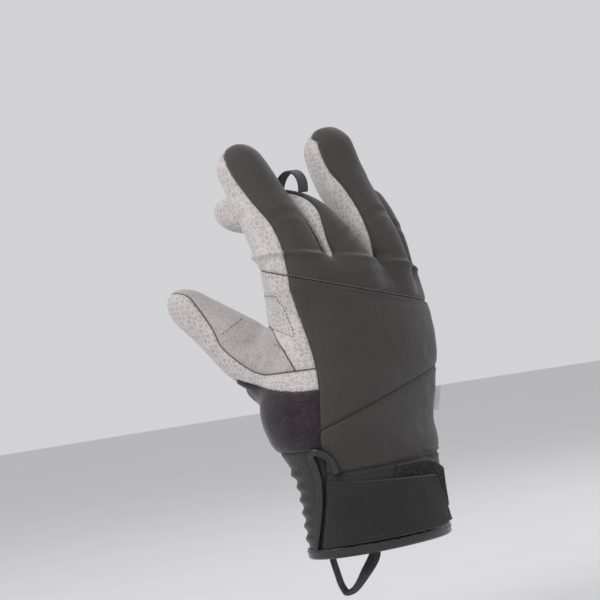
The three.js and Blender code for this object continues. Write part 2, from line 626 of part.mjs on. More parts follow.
// Hook flap over the back of the cuff, from the slit to the little finger's side
function strap() {
  const bottom = HAND_LENGTH - BINDING_HEIGHT - 2 * SEAM_GAP;
  return sheet((u, v, w) => {
    const low = bottom - STRAP_HEM_RISE * smooth(u, STRAP_LIFT_FROM, 1);
    const high = bottom - STRAP_HEIGHT + STRAP_NARROWING * u;
    const start = THREE.MathUtils.lerp(STRAP_START.top, STRAP_START.hem, v);
    const end = THREE.MathUtils.lerp(STRAP_END.top, STRAP_END.hem, v);
    const turn = THREE.MathUtils.lerp(start, end, u);
    const over = smooth(u, STRAP_CLIMB.from, STRAP_CLIMB.to) * (PATCH_THICKNESS + SEAM_GAP);
    const grow = SEAM_GAP + over + STRAP_FLARE * u ** 5 + w * STRAP_THICKNESS;
    return onHand(-THREE.MathUtils.lerp(high, low, v) / HAND_LENGTH, turn, grow);
  }, STRAP_STEPS, 2);
}

// Loop patch under the flap, with a pointed end on the back of the cuff
function loopPatch() {
  const top = WRIST_SEAM + PATCH_DROP;
  return sheet((u, v, w) => {
    const point = PATCH_POINT.reach * Math.abs(v - PATCH_POINT.at);
    const turn = THREE.MathUtils.lerp(PATCH_TURNS.point - point, PATCH_TURNS.end, u);
    const slant = PATCH_SLANT * smooth(u, PATCH_SLANTS.from, PATCH_SLANTS.to);
    const height = THREE.MathUtils.lerp(top + slant, top + PATCH_HEIGHT, v);
    return onHand(-height / HAND_LENGTH, turn, SEAM_GAP + w * PATCH_THICKNESS);
  }, PATCH_STEPS, 3);
}

function sideLabel() {
  return sheet((u, v, w) => {
    const height = LABEL_DOWN + LABEL_HEIGHT * (u - 0.5);
    const base = onHand(-height / HAND_LENGTH, LABEL_TURN, SEAM_GAP + LABEL_REACH * v);
    return base.add(vec(0, LABEL_THICKNESS * w, 0));
  }, 3, 1);
}

// Webbing loop that hangs from the inside of the hem, edge on at its first end and twisted at the other
function pullLoop() {
  const grow = -WALL - 3 * SEAM_GAP - BINDING_THICKNESS - WEBBING_WIDTH / 2;
  const halfTurn = THREE.MathUtils.radToDeg(PULL_LOOP_SPAN / HAND_WIDTH);
  const [a, b] = [1, -1].map((side) => onHand(-1, PULL_LOOP_TURN + side * halfTurn, grow));
  const at = (across, down) => a.clone().lerp(b, across).setZ(-HAND_LENGTH - down * PULL_LOOP_DROP);
  const tucked = -(BINDING_HEIGHT - TUCK_CLEARANCE) / PULL_LOOP_DROP;
  const ends = PULL_LOOP_ROUTE.map(({ across, down }) => at(across, down || tucked));
  const route = smoothLine(ends, PULL_LOOP_STEPS);
  const chord = b.clone().sub(a).setZ(0).normalize();
  const depth = vec(-chord.y, chord.x, 0);
  return ribbon(route.map((point, i) => {
    const last = route.length - 1;
    const along = route[Math.min(i + 1, last)].clone().sub(route[Math.max(i - 1, 0)]).normalize();
    const twist = rad(PULL_LOOP_TWIST) * smooth(i / last, PULL_LOOP_TWISTS.from, PULL_LOOP_TWISTS.to);
    const across = depth.clone().applyAxisAngle(along, twist).normalize();
    return { point, across, out: along.clone().cross(across).normalize() };
  }), WEBBING_WIDTH, WEBBING_THICKNESS);
}

// Webbing loop on the bend of the middle finger, that the glove hangs by
function hangLoopFrame() {
  const digit = DIGITS.middle;
  const at = HANG_LOOP_AT * digit.length;
  const frame = middleLine(digit)(at);
  const [, depth] = halfSizes(digit, at, 0);
  return { frame, surface: depth + SEAM_GAP };
}

function hangLoop() {
  const { frame, surface } = hangLoopFrame();
  const [reach, height] = [HANG_LOOP_SPAN / 2 - WEBBING_THICKNESS, HANG_LOOP_HEIGHT - WEBBING_THICKNESS];
  const stations = Array.from({ length: HANG_LOOP_STEPS + 1 }, (_, i) => {
    const turn = Math.PI * i / HANG_LOOP_STEPS;
    const across = frame.side;
    const [run, rise] = [-Math.cos(turn), Math.sin(turn)];
    const point = frame.point.clone().addScaledVector(frame.along, run * reach)
      .addScaledVector(frame.out, surface + rise * height);
    const out = frame.along.clone().multiplyScalar(run).addScaledVector(frame.out, rise).normalize();
    return { point, across, out };
  });
  return ribbon(stations, WEBBING_WIDTH, WEBBING_THICKNESS);
}

// Where the glove hangs: the inner top of the hang loop
function seat() {
  const { frame, surface } = hangLoopFrame();
  return frame.point.clone().addScaledVector(frame.out, surface + HANG_LOOP_HEIGHT - WEBBING_THICKNESS);
}

function toMesh(name, solid, material) {
  const { vertProperties, triVerts, numProp } = solid.getMesh();
  const positions = new Float32Array((vertProperties.length / numProp) * 3);
  for (let i = 0; i < positions.length / 3; i += 1) {
    for (let k = 0; k < 3; k += 1) positions[3 * i + k] = vertProperties[numProp * i + k];
  }
  const geometry = new THREE.BufferGeometry();
  geometry.setAttribute('position', new THREE.BufferAttribute(positions, 3));
  geometry.setIndex(new THREE.BufferAttribute(Uint32Array.from(triVerts), 1));
  geometry.computeVertexNormals();
  const mesh = new THREE.Mesh(geometry, material);
  mesh.name = name;
  return mesh;
}

const PANEL_MATERIALS = {
  finger_backs: SOFTSHELL, hand_back: SOFTSHELL, wrist_back: SOFTSHELL, cuff_back: SOFTSHELL,
  thumb_band: HEATHER, thumb_panel: HEATHER, finger_fronts: HEATHER, palm: HEATHER,
  wrist_panel: KNIT, cuff_palm: SOFTSHELL,
};

const glove = new THREE.Group();
Object.entries(makePanels()).forEach(([name, solid]) => {
  glove.add(toMesh(name, main(solid), PANEL_MATERIALS[name]));
});
glove.add(
  toMesh('slit_binding', slitBinding(), BINDING),
  toMesh('hem_binding', hemBinding(), BINDING),
  toMesh('strap', strap(), SOFTSHELL),
  toMesh('loop_patch', loopPatch(), FUZZY),
  toMesh('side_label', sideLabel(), LABEL),
  toMesh('pull_loop', pullLoop(), WEBBING),
  toMesh('hang_loop', hangLoop(), WEBBING),
);
glove.position.copy(seat()).negate();

export default glove;
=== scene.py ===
"""Ski touring glove for a right hand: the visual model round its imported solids.

The shell is one smooth distance field with the sizes and sections of the solids. It is meshed, cut into
panels along its seams and given its walls. The straps, bindings, loops, stitches and pile are added to it.
All making is in millimetres in the hand frame: +Z runs from the knuckle line to the fingertips, -Y is the
back of the hand and -X the thumb side. The glove hangs by the seat of its hang loop, the row's origin.
"""

import math

import bpy
import numpy as np
import openvdb
from mathutils import Matrix, Vector
from mathutils.bvhtree import BVHTree
from mathutils.kdtree import KDTree


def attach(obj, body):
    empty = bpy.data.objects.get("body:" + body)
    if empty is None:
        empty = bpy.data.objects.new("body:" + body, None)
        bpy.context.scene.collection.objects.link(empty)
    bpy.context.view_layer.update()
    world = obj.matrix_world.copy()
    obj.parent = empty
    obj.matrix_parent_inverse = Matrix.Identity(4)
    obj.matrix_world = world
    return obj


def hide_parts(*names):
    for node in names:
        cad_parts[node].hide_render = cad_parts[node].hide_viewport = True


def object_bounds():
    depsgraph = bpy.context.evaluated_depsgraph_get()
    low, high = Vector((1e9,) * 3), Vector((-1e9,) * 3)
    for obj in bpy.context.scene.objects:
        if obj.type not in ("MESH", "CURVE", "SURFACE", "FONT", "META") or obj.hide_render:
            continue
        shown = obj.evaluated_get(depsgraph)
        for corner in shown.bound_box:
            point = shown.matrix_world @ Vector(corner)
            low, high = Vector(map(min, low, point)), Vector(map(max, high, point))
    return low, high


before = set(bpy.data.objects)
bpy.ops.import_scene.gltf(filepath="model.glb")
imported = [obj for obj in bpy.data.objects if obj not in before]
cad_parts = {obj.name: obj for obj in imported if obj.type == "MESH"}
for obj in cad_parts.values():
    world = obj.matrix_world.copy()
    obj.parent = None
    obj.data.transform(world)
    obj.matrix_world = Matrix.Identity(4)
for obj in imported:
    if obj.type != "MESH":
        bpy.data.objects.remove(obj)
cad_low, cad_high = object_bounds()

# Driving sizes, as in the solids
HAND_LENGTH = 165.0
HAND_WIDTH = 108.0
HAND_DEPTH = 52.0
WALL = 2.4
SEAM_GAP = 0.3
FINGER_WIDTH = 28.0
FINGER_DEPTH = 29.0
THUMB_LENGTH = 112.0
THUMB_WIDTH = 31.0
CUFF_HEIGHT = 48.0
PALM_CUFF = 63.0
WRIST_SEAM = HAND_LENGTH - CUFF_HEIGHT
PALM_SEAM = HAND_LENGTH - PALM_CUFF
BINDING_HEIGHT = 5.0
BINDING_THICKNESS = 1.2
PIPING_WIDTH = 4.6
PIPING_THICKNESS = 1.8
STRAP_HEIGHT = 38.0
STRAP_THICKNESS = 2.4
STRAP_FLARE = 2.0
STRAP_NARROWING = 7.0
STRAP_HEM_RISE = 2.0
PATCH_DROP = 1.5
PATCH_HEIGHT = 31.0
PATCH_SLANT = 9.0
PATCH_THICKNESS = 1.5
LABEL_DOWN = 86.0
LABEL_HEIGHT = 14.0
LABEL_REACH = 4.0
LABEL_THICKNESS = 1.0
WEBBING_WIDTH = 12.0
WEBBING_THICKNESS = 1.4
PULL_LOOP_DROP = 24.0
PULL_LOOP_SPAN = 64.0
PULL_LOOP_TURN = 66.0
PULL_LOOP_TWIST = 40.0
HANG_LOOP_HEIGHT = 12.0
HANG_LOOP_SPAN = 17.0
HANG_LOOP_AT = 0.53

# Sections of the hand from the finger roots to the hem, with the solids' columns
HAND_COLUMNS = ("z", "x", "y", "wide", "deep", "round", "lean", "arch", "slope")
HAND = [
    (0.045, 0.10, 0.02, 0.20, 0.12, 2.2, 0.20, 0.05, -0.20),
    (0.028, 0.10, 0.02, 0.44, 0.30, 2.5, 0.40, 0.10, -0.20),
    (-0.01, 0.11, 0.03, 0.485, 0.41, 2.6, 0.34, 0.12, -0.19),
    (-0.07, 0.12, 0.04, 0.505, 0.47, 2.6, 0.26, 0.12, -0.16),
    (-0.18, 0.12, 0.05, 0.53, 0.52, 2.5, 0.20, 0.12, -0.10),
    (-0.33, 0.09, 0.07, 0.56, 0.57, 2.4, 0.20, 0.10, -0.04),
    (-0.46, 0.02, 0.08, 0.575, 0.61, 2.3, 0.24, 0.06, 0.0),
    (-0.58, -0.015, 0.06, 0.525, 0.62, 2.2, 0.20, 0.02, 0.0),
    (-0.67, 0.01, 0.03, 0.475, 0.60, 2.1, 0.08, 0.0, 0.0),
    (-0.78, 0.0, 0.0, 0.44, 0.60, 2.1, 0.0, 0.0, 0.0),
    (-1.00, 0.0, 0.0, 0.44, 0.60, 2.1, 0.0, 0.0, 0.0),
]
HAND_TOP = 0.045

# Fingers and thumb: girth and bend by share of their length
INDEX_GIRTH = [(0, 1.34), (0.3, 1.24), (0.55, 1.1), (0.8, 1), (1, 0.88)]
MIDDLE_GIRTH = [(0, 1.08), (0.5, 1), (0.75, 0.86), (1, 0.66)]
RING_GIRTH = [(0, 1), (0.5, 1.04), (0.8, 1.08), (1, 0.92)]
LITTLE_GIRTH = [(0, 1), (0.5, 1), (0.8, 0.96), (1, 0.86)]
THUMB_GIRTH = [(0, 1.34), (0.25, 1.3), (0.5, 1.16), (0.75, 0.89), (0.9, 0.73), (1, 0.62)]
DIGITS = {
    "index": {
        "root": (-0.27, 0.06, -0.036), "spread": 4, "pitch": 0, "roll": 4, "length": 95.0,
        "width": FINGER_WIDTH * 1.02, "depth": FINGER_DEPTH * 1.05, "girth": INDEX_GIRTH,
        "seam": [(0, 57), (0.15, 52), (0.38, 50), (0.6, 66), (0.8, 76), (1, 72)], "wrap": 10,
        "flex": [(0, 6), (0.3, 20), (0.6, 24), (1, 30)],
    },
    "middle": {
        "root": (0.02, -0.17, -0.024), "spread": 2, "pitch": 0, "roll": 24, "length": 104.0,
        "width": FINGER_WIDTH, "depth": FINGER_DEPTH, "girth": MIDDLE_GIRTH,
        "seam": [(0, 82), (0.1, 76), (0.2, 67), (0.3, 46), (0.38, 26), (0.48, 17), (1, 20)], "wrap": -60,
        "flex": [(0, 24), (0.25, 34), (0.42, 46), (0.52, 70), (0.62, 80), (1, 75)],
    },
    "ring": {
        "root": (0.32, -0.10, -0.036), "spread": 2, "pitch": 0, "roll": 0, "length": 101.0,
        "width": FINGER_WIDTH, "depth": FINGER_DEPTH, "girth": RING_GIRTH,
        "seam": [(0, 62), (0.1, 61), (0.2, 52), (0.37, 45), (0.56, 48), (0.7, 60), (1, 66)], "wrap": 60,
        "flex": [(0, 12), (0.25, 24), (0.5, 29), (0.75, 18), (1, 4)],
    },
    "little": {
        "root": (0.475, 0.13, -0.085), "spread": -2, "pitch": 0, "roll": -4, "length": 66.0,
        "width": FINGER_WIDTH * 0.88, "depth": FINGER_DEPTH * 0.86, "girth": LITTLE_GIRTH,
        "seam": [(0, 112), (1, 112)], "wrap": 50,
        "flex": [(0, 10), (0.4, 18), (0.7, 34), (1, 44)],
    },
    "thumb": {
        "root": (-0.20, 0.27, -0.47), "spread": 30, "pitch": 36, "roll": -60, "length": THUMB_LENGTH,
        "width": THUMB_WIDTH, "depth": THUMB_WIDTH * 0.94, "girth": THUMB_GIRTH,
        "flex": [(0, 6), (0.5, 0), (1, -6)],
    },
}
FINGERS = ("index", "middle", "ring", "little")
ROOT_SINK = 0.55
ROOT_TAPER = 2.0
TIP_ROUND = 0.48

# Seams, in degrees of turn from the back towards the thumb side and in shares of the length
BACK_EDGE = [
    (0.05, 70), (-0.05, 70), (-0.11, 71), (-0.18, 69), (-0.24, 63.5), (-0.31, 58), (-0.42, 52),
    (-0.51, 53), (-0.60, 59), (-0.69, 66), (-0.8, 75), (-1, 89),
]
BACK_SEAM_LITTLE_SIDE = -72.0
BACK_TOP = 0.012
LITTLE_SIDE_SEAM = 60.0
SEAM_VIEW = 40.0
KNUCKLE_SEAM = {"z": -0.055, "tilt": -0.336}
BACK_SEAM = {"z": -0.502, "tilt": 0.327}
ZONE_REACH = 1.6
HAND_ZONE_REACH = 6.0
ZONE_BLEND = 4.0
ROOT_REACH = 5.5
ROOT_PART = (-5, 25)
SHARED_REACH = 0.5
WRAP_FROM = 0.3
FOOT_BLEND = 8.0
BAND_BLEND = 7.0
THUMB_SEAM = {"across": -0.921, "up": -0.39, "at": 0.32}
THUMB_FOOT = {"across": 0.418, "up": 0.908, "at": -0.483}
THUMB_BAND = {"to": 106.0, "start": 0.22, "from": [
    (0.22, 0), (0.4, 1), (0.52, 3), (0.6, -1), (0.67, -16), (0.75, -30), (0.84, -47), (0.92, -64), (1, -66),
]}
BAND_STRIP = {"top": -0.341, "bottom": -0.410, "to": 132.0}
WRIST_PANEL = {"overlap": 0.06, "to": 158.0}
UNDERLAP = 10.0

# Gathers of the cuff's thumb side
GATHER_COUNT = 6
GATHER_HEIGHT = 1.7
GATHER_TOP = 0.675
GATHER_BOTTOM = 0.955
GATHER_TURNS = {"from": 90, "full": 104, "fade": 178, "to": 205}
GATHER_DRIFT = 0.012
GATHER_SHARPNESS = 1.3

# Routes on the cuff and of the pull loop, as in the solids
PIPING_ROUTE = [
    (56, 0.71), (56, 0.665), (60, 0.634), (66, 0.624), (71, 0.64), (72.5, 0.68), (74, 0.74),
    (81, 0.85), (92, 1),
]
PULL_LOOP_ROUTE = [
    (0, 0), (0, 0.08), (0.05, 0.45), (0.12, 0.82), (0.22, 1), (0.42, 0.94), (0.7, 0.6), (1, 0.12), (1, 0),
]
PULL_LOOP_TWISTS = (0.4, 0.9)
TUCK_CLEARANCE = 1.0
STRAP_START = {"top": 66.0, "hem": 78.0}
STRAP_END = {"top": -22.0, "hem": -37.0}
STRAP_CLIMB = (0.3, 0.55)
STRAP_LIFT_FROM = 0.85
PATCH_TURNS = {"point": 10.0, "end": -116.0}
PATCH_POINT = {"reach": 12.0, "at": 0.3}
PATCH_SLANTS = (0.15, 0.6)
LABEL_TURN = -67.0

# Meshing
CELL = 1.25
BAND = 4.0
ROOT_BLEND = 6.0
THUMB_BLEND = 9.0
DIGIT_BLEND = 1.2
SKIN_THICKNESS = 1.5
MM = 0.001


def smooth(value, start, end):
    """0 before the start, 1 past the end and a smooth rise between them."""
    t = np.clip((value - start) / (end - start), 0, 1)
    return t * t * (3 - 2 * t)


def unit(v):
    """Directions of length 1."""
    return v / np.maximum(np.linalg.norm(v, axis=-1, keepdims=True), 1e-12)


def track(at, keys, rows):
    """The rows that belong to a table's keys, at places between the keys."""
    return np.stack([np.interp(at, keys, column) for column in np.transpose(rows)], -1)


def resample(route, count):
    """Points spread evenly over a route's rows."""
    return track(np.linspace(0, len(route) - 1, count), range(len(route)), route)


def corners(points, faces):
    """The first, second and third corners of all triangles."""
    return (points[faces[:, k]] for k in range(3))


def edges_of(faces):
    """The edges of all triangles as vertex pairs: first all first ones, then all second and third ones."""
    return np.vstack([faces[:, [0, 1]], faces[:, [1, 2]], faces[:, [2, 0]]])


class Curve:
    """A smooth curve through a table's rows, with the solids' own rule between rows."""

    SAMPLES = 800

    def __init__(self, rows):
        keys, values = np.array(rows, float).T
        if keys[-1] < keys[0]:
            keys, values = keys[::-1], values[::-1]
        last = len(keys) - 1
        before = np.maximum(np.arange(last + 1) - 1, 0)
        after = np.minimum(np.arange(last + 1) + 1, last)
        slope = (values[after] - values[before]) / (keys[after] - keys[before])
        self.at = np.linspace(keys[0], keys[-1], self.SAMPLES)
        i = np.clip(np.searchsorted(keys, self.at, side="right") - 1, 0, last - 1)
        span = keys[i + 1] - keys[i]
        t = np.clip((self.at - keys[i]) / span, 0, 1)
        rise = values[i + 1] - values[i]
        a = slope[i] * span - rise
        b = rise - slope[i + 1] * span
        self.values = values[i] + rise * t + t * (1 - t) * (a * (1 - t) + b * t)

    def __call__(self, at):
        return np.interp(at, self.at, self.values)


HAND_CURVES = {
    name: Curve([(row[0], row[k]) for row in HAND])
    for k, name in enumerate(HAND_COLUMNS)
}
back_edge = Curve(BACK_EDGE)


def hand_row(share):
    """The hand's section at a share of its length, by the names of the columns."""
    return {name: curve(share) for name, curve in HAND_CURVES.items()}


def flat_point(row, turn, grow=0.0):
    """Place in the plane of a section at a turn from the back, at a distance from the surface."""
    def power(value):
        return np.sign(value) * np.abs(value) ** (2 / row["round"])

    across = -power(np.sin(np.radians(turn)))
    through = -power(np.cos(np.radians(turn)))
    x = (row["x"] + row["wide"] * across) * HAND_WIDTH + grow * across
    bulge = row["deep"] * through * (1 - row["lean"] * across) + row["arch"] * across * across
    y = (row["y"] + bulge) * HAND_DEPTH + grow * through
    return x, y


def on_hand(share, turn, grow=0.0):
    """Points on the hand, or at a distance from its surface."""
    share, turn, grow = np.broadcast_arrays(*(np.asarray(v, float) for v in (share, turn, grow)))
    row = hand_row(share)
    x, y = flat_point(row, turn, grow)
    return np.stack([x, y, share * HAND_LENGTH + row["slope"] * x], -1)


def share_of(points):
    """The share of the length at which each point's tilted section lies."""
    share = points[..., 2] / HAND_LENGTH
    for _ in range(4):
        slope = HAND_CURVES["slope"](share)
        share = (points[..., 2] - slope * points[..., 0]) / HAND_LENGTH
    return share


def hand_radius(points, share):
    """How far out a point is in its section: 1 on the surface."""
    row = hand_row(share)
    across = (points[..., 0] / HAND_WIDTH - row["x"]) / row["wide"]
    through = points[..., 1] / HAND_DEPTH - row["y"] - row["arch"] * across * across
    through = through / (row["deep"] * np.maximum(1 - row["lean"] * across, 0.3))
    power = row["round"]
    return (np.abs(across) ** power + np.abs(through) ** power) ** (1 / power)


def about_centre(row, x, y):
    """Angle about a section's centre from the back towards the thumb side, and distance from it."""
    x = x - row["x"] * HAND_WIDTH
    y = y - row["y"] * HAND_DEPTH
    return np.degrees(np.arctan2(-x, -y)), np.hypot(x, y)


def hand_angle(points, share):
    """Angle of each point about its section's centre, and distance from it."""
    return about_centre(hand_row(share), points[..., 0], points[..., 1])


def seam_angle(share, turn):
    """Angle about the section's centre at which a zone's edge lies."""
    row = hand_row(share)
    return about_centre(row, *flat_point(row, turn, HAND_ZONE_REACH))[0]


class Digit:
    """A finger or the thumb: its middle line with frames, and a point's place along and round it."""

    # Spacing of the middle line's points, its length beyond both ends, and points placed at a time
    STEP = 0.8
    LEAD = 24.0
    BATCH = 60000

    def __init__(self, spec):
        self.length, self.width, self.depth = spec["length"], spec["width"], spec["depth"]
        self.girth = Curve(spec["girth"])
        flex = Curve(spec["flex"])
        s, p, r = (math.radians(spec[k]) for k in ("spread", "pitch", "roll"))
        up = np.array([-math.sin(s) * math.cos(p), math.sin(p), math.cos(s) * math.cos(p)])
        flat_side = np.array([math.cos(s), 0, math.sin(s)])
        flat_palm = np.array([math.sin(s) * math.sin(p), math.cos(p), -math.cos(s) * math.sin(p)])
        self.side = flat_side * math.cos(r) + flat_palm * math.sin(r)
        palm = flat_palm * math.cos(r) - flat_side * math.sin(r)
        count = int((self.length + 2 * self.LEAD) / self.STEP)
        self.at = np.linspace(-self.LEAD, self.length + self.LEAD, count)
        bend = np.radians(flex(np.clip(self.at / self.length, 0, 1)))
        self.along = np.cos(bend)[:, None] * up + np.sin(bend)[:, None] * palm
        self.out = np.sin(bend)[:, None] * up - np.cos(bend)[:, None] * palm
        step = self.at[1] - self.at[0]
        middle = (self.along[1:] + self.along[:-1]) / 2 * step
        line = np.vstack([np.zeros(3), np.cumsum(middle, 0)])
        root = np.array(spec["root"]) * (HAND_WIDTH, HAND_DEPTH, HAND_LENGTH)
        self.line = line - track(0, self.at, line) + root
        self.start = -ROOT_SINK * self.width
        self.cap = TIP_ROUND * self.width
        self.straight = self.length - self.cap

    def frame(self, at):
        """Middle, direction and direction out of the back at a distance along the line."""
        middle, along, out = (track(at, self.at, rows) for rows in (self.line, self.along, self.out))
        return middle, unit(along), unit(out)

    def half_sizes(self, at):
        """Half the width and half the depth at a distance along the line."""
        sunk = 1 + np.minimum(at, 0) / (ROOT_TAPER * self.width)
        girth = self.girth(np.clip(at / self.length, 0, 1)) * sunk
        return self.width / 2 * girth, self.depth / 2 * girth

    def place(self, points):
        """Distance along the line, to the side and out of the back, for each point."""
        near = np.empty(len(points), int)
        line = self.line.astype(np.float32)
        for i in range(0, len(points), self.BATCH):
            part = points[i:i + self.BATCH].astype(np.float32)
            near[i:i + self.BATCH] = ((line ** 2).sum(1) - 2 * part @ line.T).argmin(1)
        at = self.at[near] + ((points - self.line[near]) * self.along[near]).sum(1)
        for _ in range(2):
            middle, along, out = self.frame(at)
            at = at + ((points - middle) * along).sum(1)
        middle, along, out = self.frame(at)
        offset = points - middle
        return at, offset @ self.side, (offset * out).sum(1)

    def distance(self, at, side, out):
        """Distance from the surface, negative inside."""
        a, b = self.half_sizes(at)
        past = np.maximum(at - self.straight, 0)
        radius = np.sqrt((side / a) ** 2 + (out / b) ** 2 + (past / self.cap) ** 2)
        steep = np.sqrt((side / a ** 2) ** 2 + (out / b ** 2) ** 2 + (past / self.cap ** 2) ** 2)
        return np.maximum((radius - 1) * radius / np.maximum(steep, 1e-3), self.start - at)

    def angle(self, side, out):
        """Angle about the middle line from the back towards the thumb side, and distance from it."""
        return np.degrees(np.arctan2(-side, out)), np.hypot(side, out)

    def seam_angle(self, at, turn):
        """Angle about the middle line at which a zone's edge lies."""
        a, b = self.half_sizes(at)
        turn = np.radians(turn)
        return np.degrees(np.arctan2((a + ZONE_REACH) * np.sin(turn), (b + ZONE_REACH) * np.cos(turn)))

    def point(self, at, turn, grow=0.0):
        """Point on the surface at a distance along and a turn from the back to the thumb side."""
        a, b = self.half_sizes(at)
        past = np.clip((np.asarray(at, float) - self.straight) / self.cap, 0, 1)
        tight = np.sqrt(1 - past ** 2)
        middle, _, out = self.frame(at)
        turn = np.radians(turn)
        side = -np.sin(turn) * (a * tight + grow)
        rise = np.cos(turn) * (b * tight + grow)
        return middle + side[..., None] * self.side + rise[..., None] * out


DIGIT_FORMS = {name: Digit(spec) for name, spec in DIGITS.items()}


def hang_loop_frame():
    """Place on the middle finger that the hang loop is sewn to, with its directions and height."""
    digit = DIGIT_FORMS["middle"]
    at = HANG_LOOP_AT * digit.length
    middle, along, out = digit.frame(np.array(at))
    _, depth = digit.half_sizes(at)
    return middle, along, out, digit.side, depth + SEAM_GAP


def find_seat():
    """The top of the hang loop's inside, which the glove hangs by."""
    middle, _, out, _, surface = hang_loop_frame()
    return middle + out * (surface + HANG_LOOP_HEIGHT - WEBBING_THICKNESS)


SEAT = find_seat()


def to_row(points):
    """Millimetres in the hand frame to metres in the row frame."""
    return (np.asarray(points) - SEAT) * MM


def union(a, b, blend):
    """Distance field of two forms together, blended over a width."""
    h = np.clip(0.5 + 0.5 * (b - a) / blend, 0, 1)
    return b * (1 - h) + a * h - blend * h * (1 - h)


class Grid:
    """The shell's distance field on a regular grid, with each form's own field beside it."""

    # How far from its middle line a digit is measured, as a share of its width
    DIGIT_REACH = 0.75

    def __init__(self):
        self.low = np.array(cad_low) / MM + SEAT - BAND
        high = np.array(cad_high) / MM + SEAT + BAND
        self.low[2] = -HAND_LENGTH - BAND
        self.shape = tuple(np.ceil((high - self.low) / CELL).astype(int) + 1)
        axes = [self.low[k] + CELL * np.arange(self.shape[k]) for k in range(3)]
        points = np.stack(np.meshgrid(*axes, indexing="ij"), -1)
        share = share_of(points)
        radius = hand_radius(points, share) - 1
        steep = np.sqrt(sum(g ** 2 for g in np.gradient(radius, CELL)))
        hand = radius / np.maximum(steep, 1e-3)
        self.fields = {"hand": np.maximum(hand, (share - HAND_TOP) * HAND_LENGTH)}
        flat = points.reshape(-1, 3)
        for name, digit in DIGIT_FORMS.items():
            reach = max(digit.width, digit.depth) * self.DIGIT_REACH + BAND
            used = (digit.at > digit.start) & (digit.at < digit.length)
            low = digit.line[used].min(0) - reach
            high = digit.line[used].max(0) + reach
            inside = np.flatnonzero(((flat > low) & (flat < high)).all(1))
            field = np.full(len(flat), 2 * BAND)
            field[inside] = digit.distance(*digit.place(flat[inside]))
            self.fields[name] = field.reshape(self.shape)
        fingers = self.fields["index"]
        for name in ("middle", "ring", "little"):
            fingers = union(fingers, self.fields[name], DIGIT_BLEND)
        whole = union(self.fields["hand"], self.fields["thumb"], THUMB_BLEND)
        self.whole = union(whole, fingers, ROOT_BLEND)

    def sample(self, name, points):
        """A form's field at points between the grid's own."""
        place = (points - self.low) / CELL
        cell = np.clip(place.astype(int), 0, np.array(self.shape) - 2)
        t = place - cell
        field, total = self.fields[name], 0
        for corner in np.ndindex(2, 2, 2):
            weight = np.prod(np.where(corner, t, 1 - t), axis=1)
            index = cell + corner
            total = total + weight * field[index[:, 0], index[:, 1], index[:, 2]]
        return total

    def mesh(self):
        """Triangles where the whole field is zero, each quad split along its shorter diagonal."""
        volume = openvdb.FloatGrid(BAND)
        volume.copyFromArray(np.clip(self.whole, -BAND, BAND).astype(np.float32))
        points, quads = volume.convertToQuads(0.0)
        points = points.astype(float) * CELL + self.low
        quads = quads.astype(np.int64)
        split = np.linalg.norm(points[quads[:, 0]] - points[quads[:, 2]], axis=1)
        other = np.linalg.norm(points[quads[:, 1]] - points[quads[:, 3]], axis=1)
        short = (split < other)[:, None]
        first = np.where(short, quads[:, [0, 1, 2]], quads[:, [0, 1, 3]])
        second = np.where(short, quads[:, [0, 2, 3]], quads[:, [1, 2, 3]])
        return Skin(points, np.vstack([first, second]))


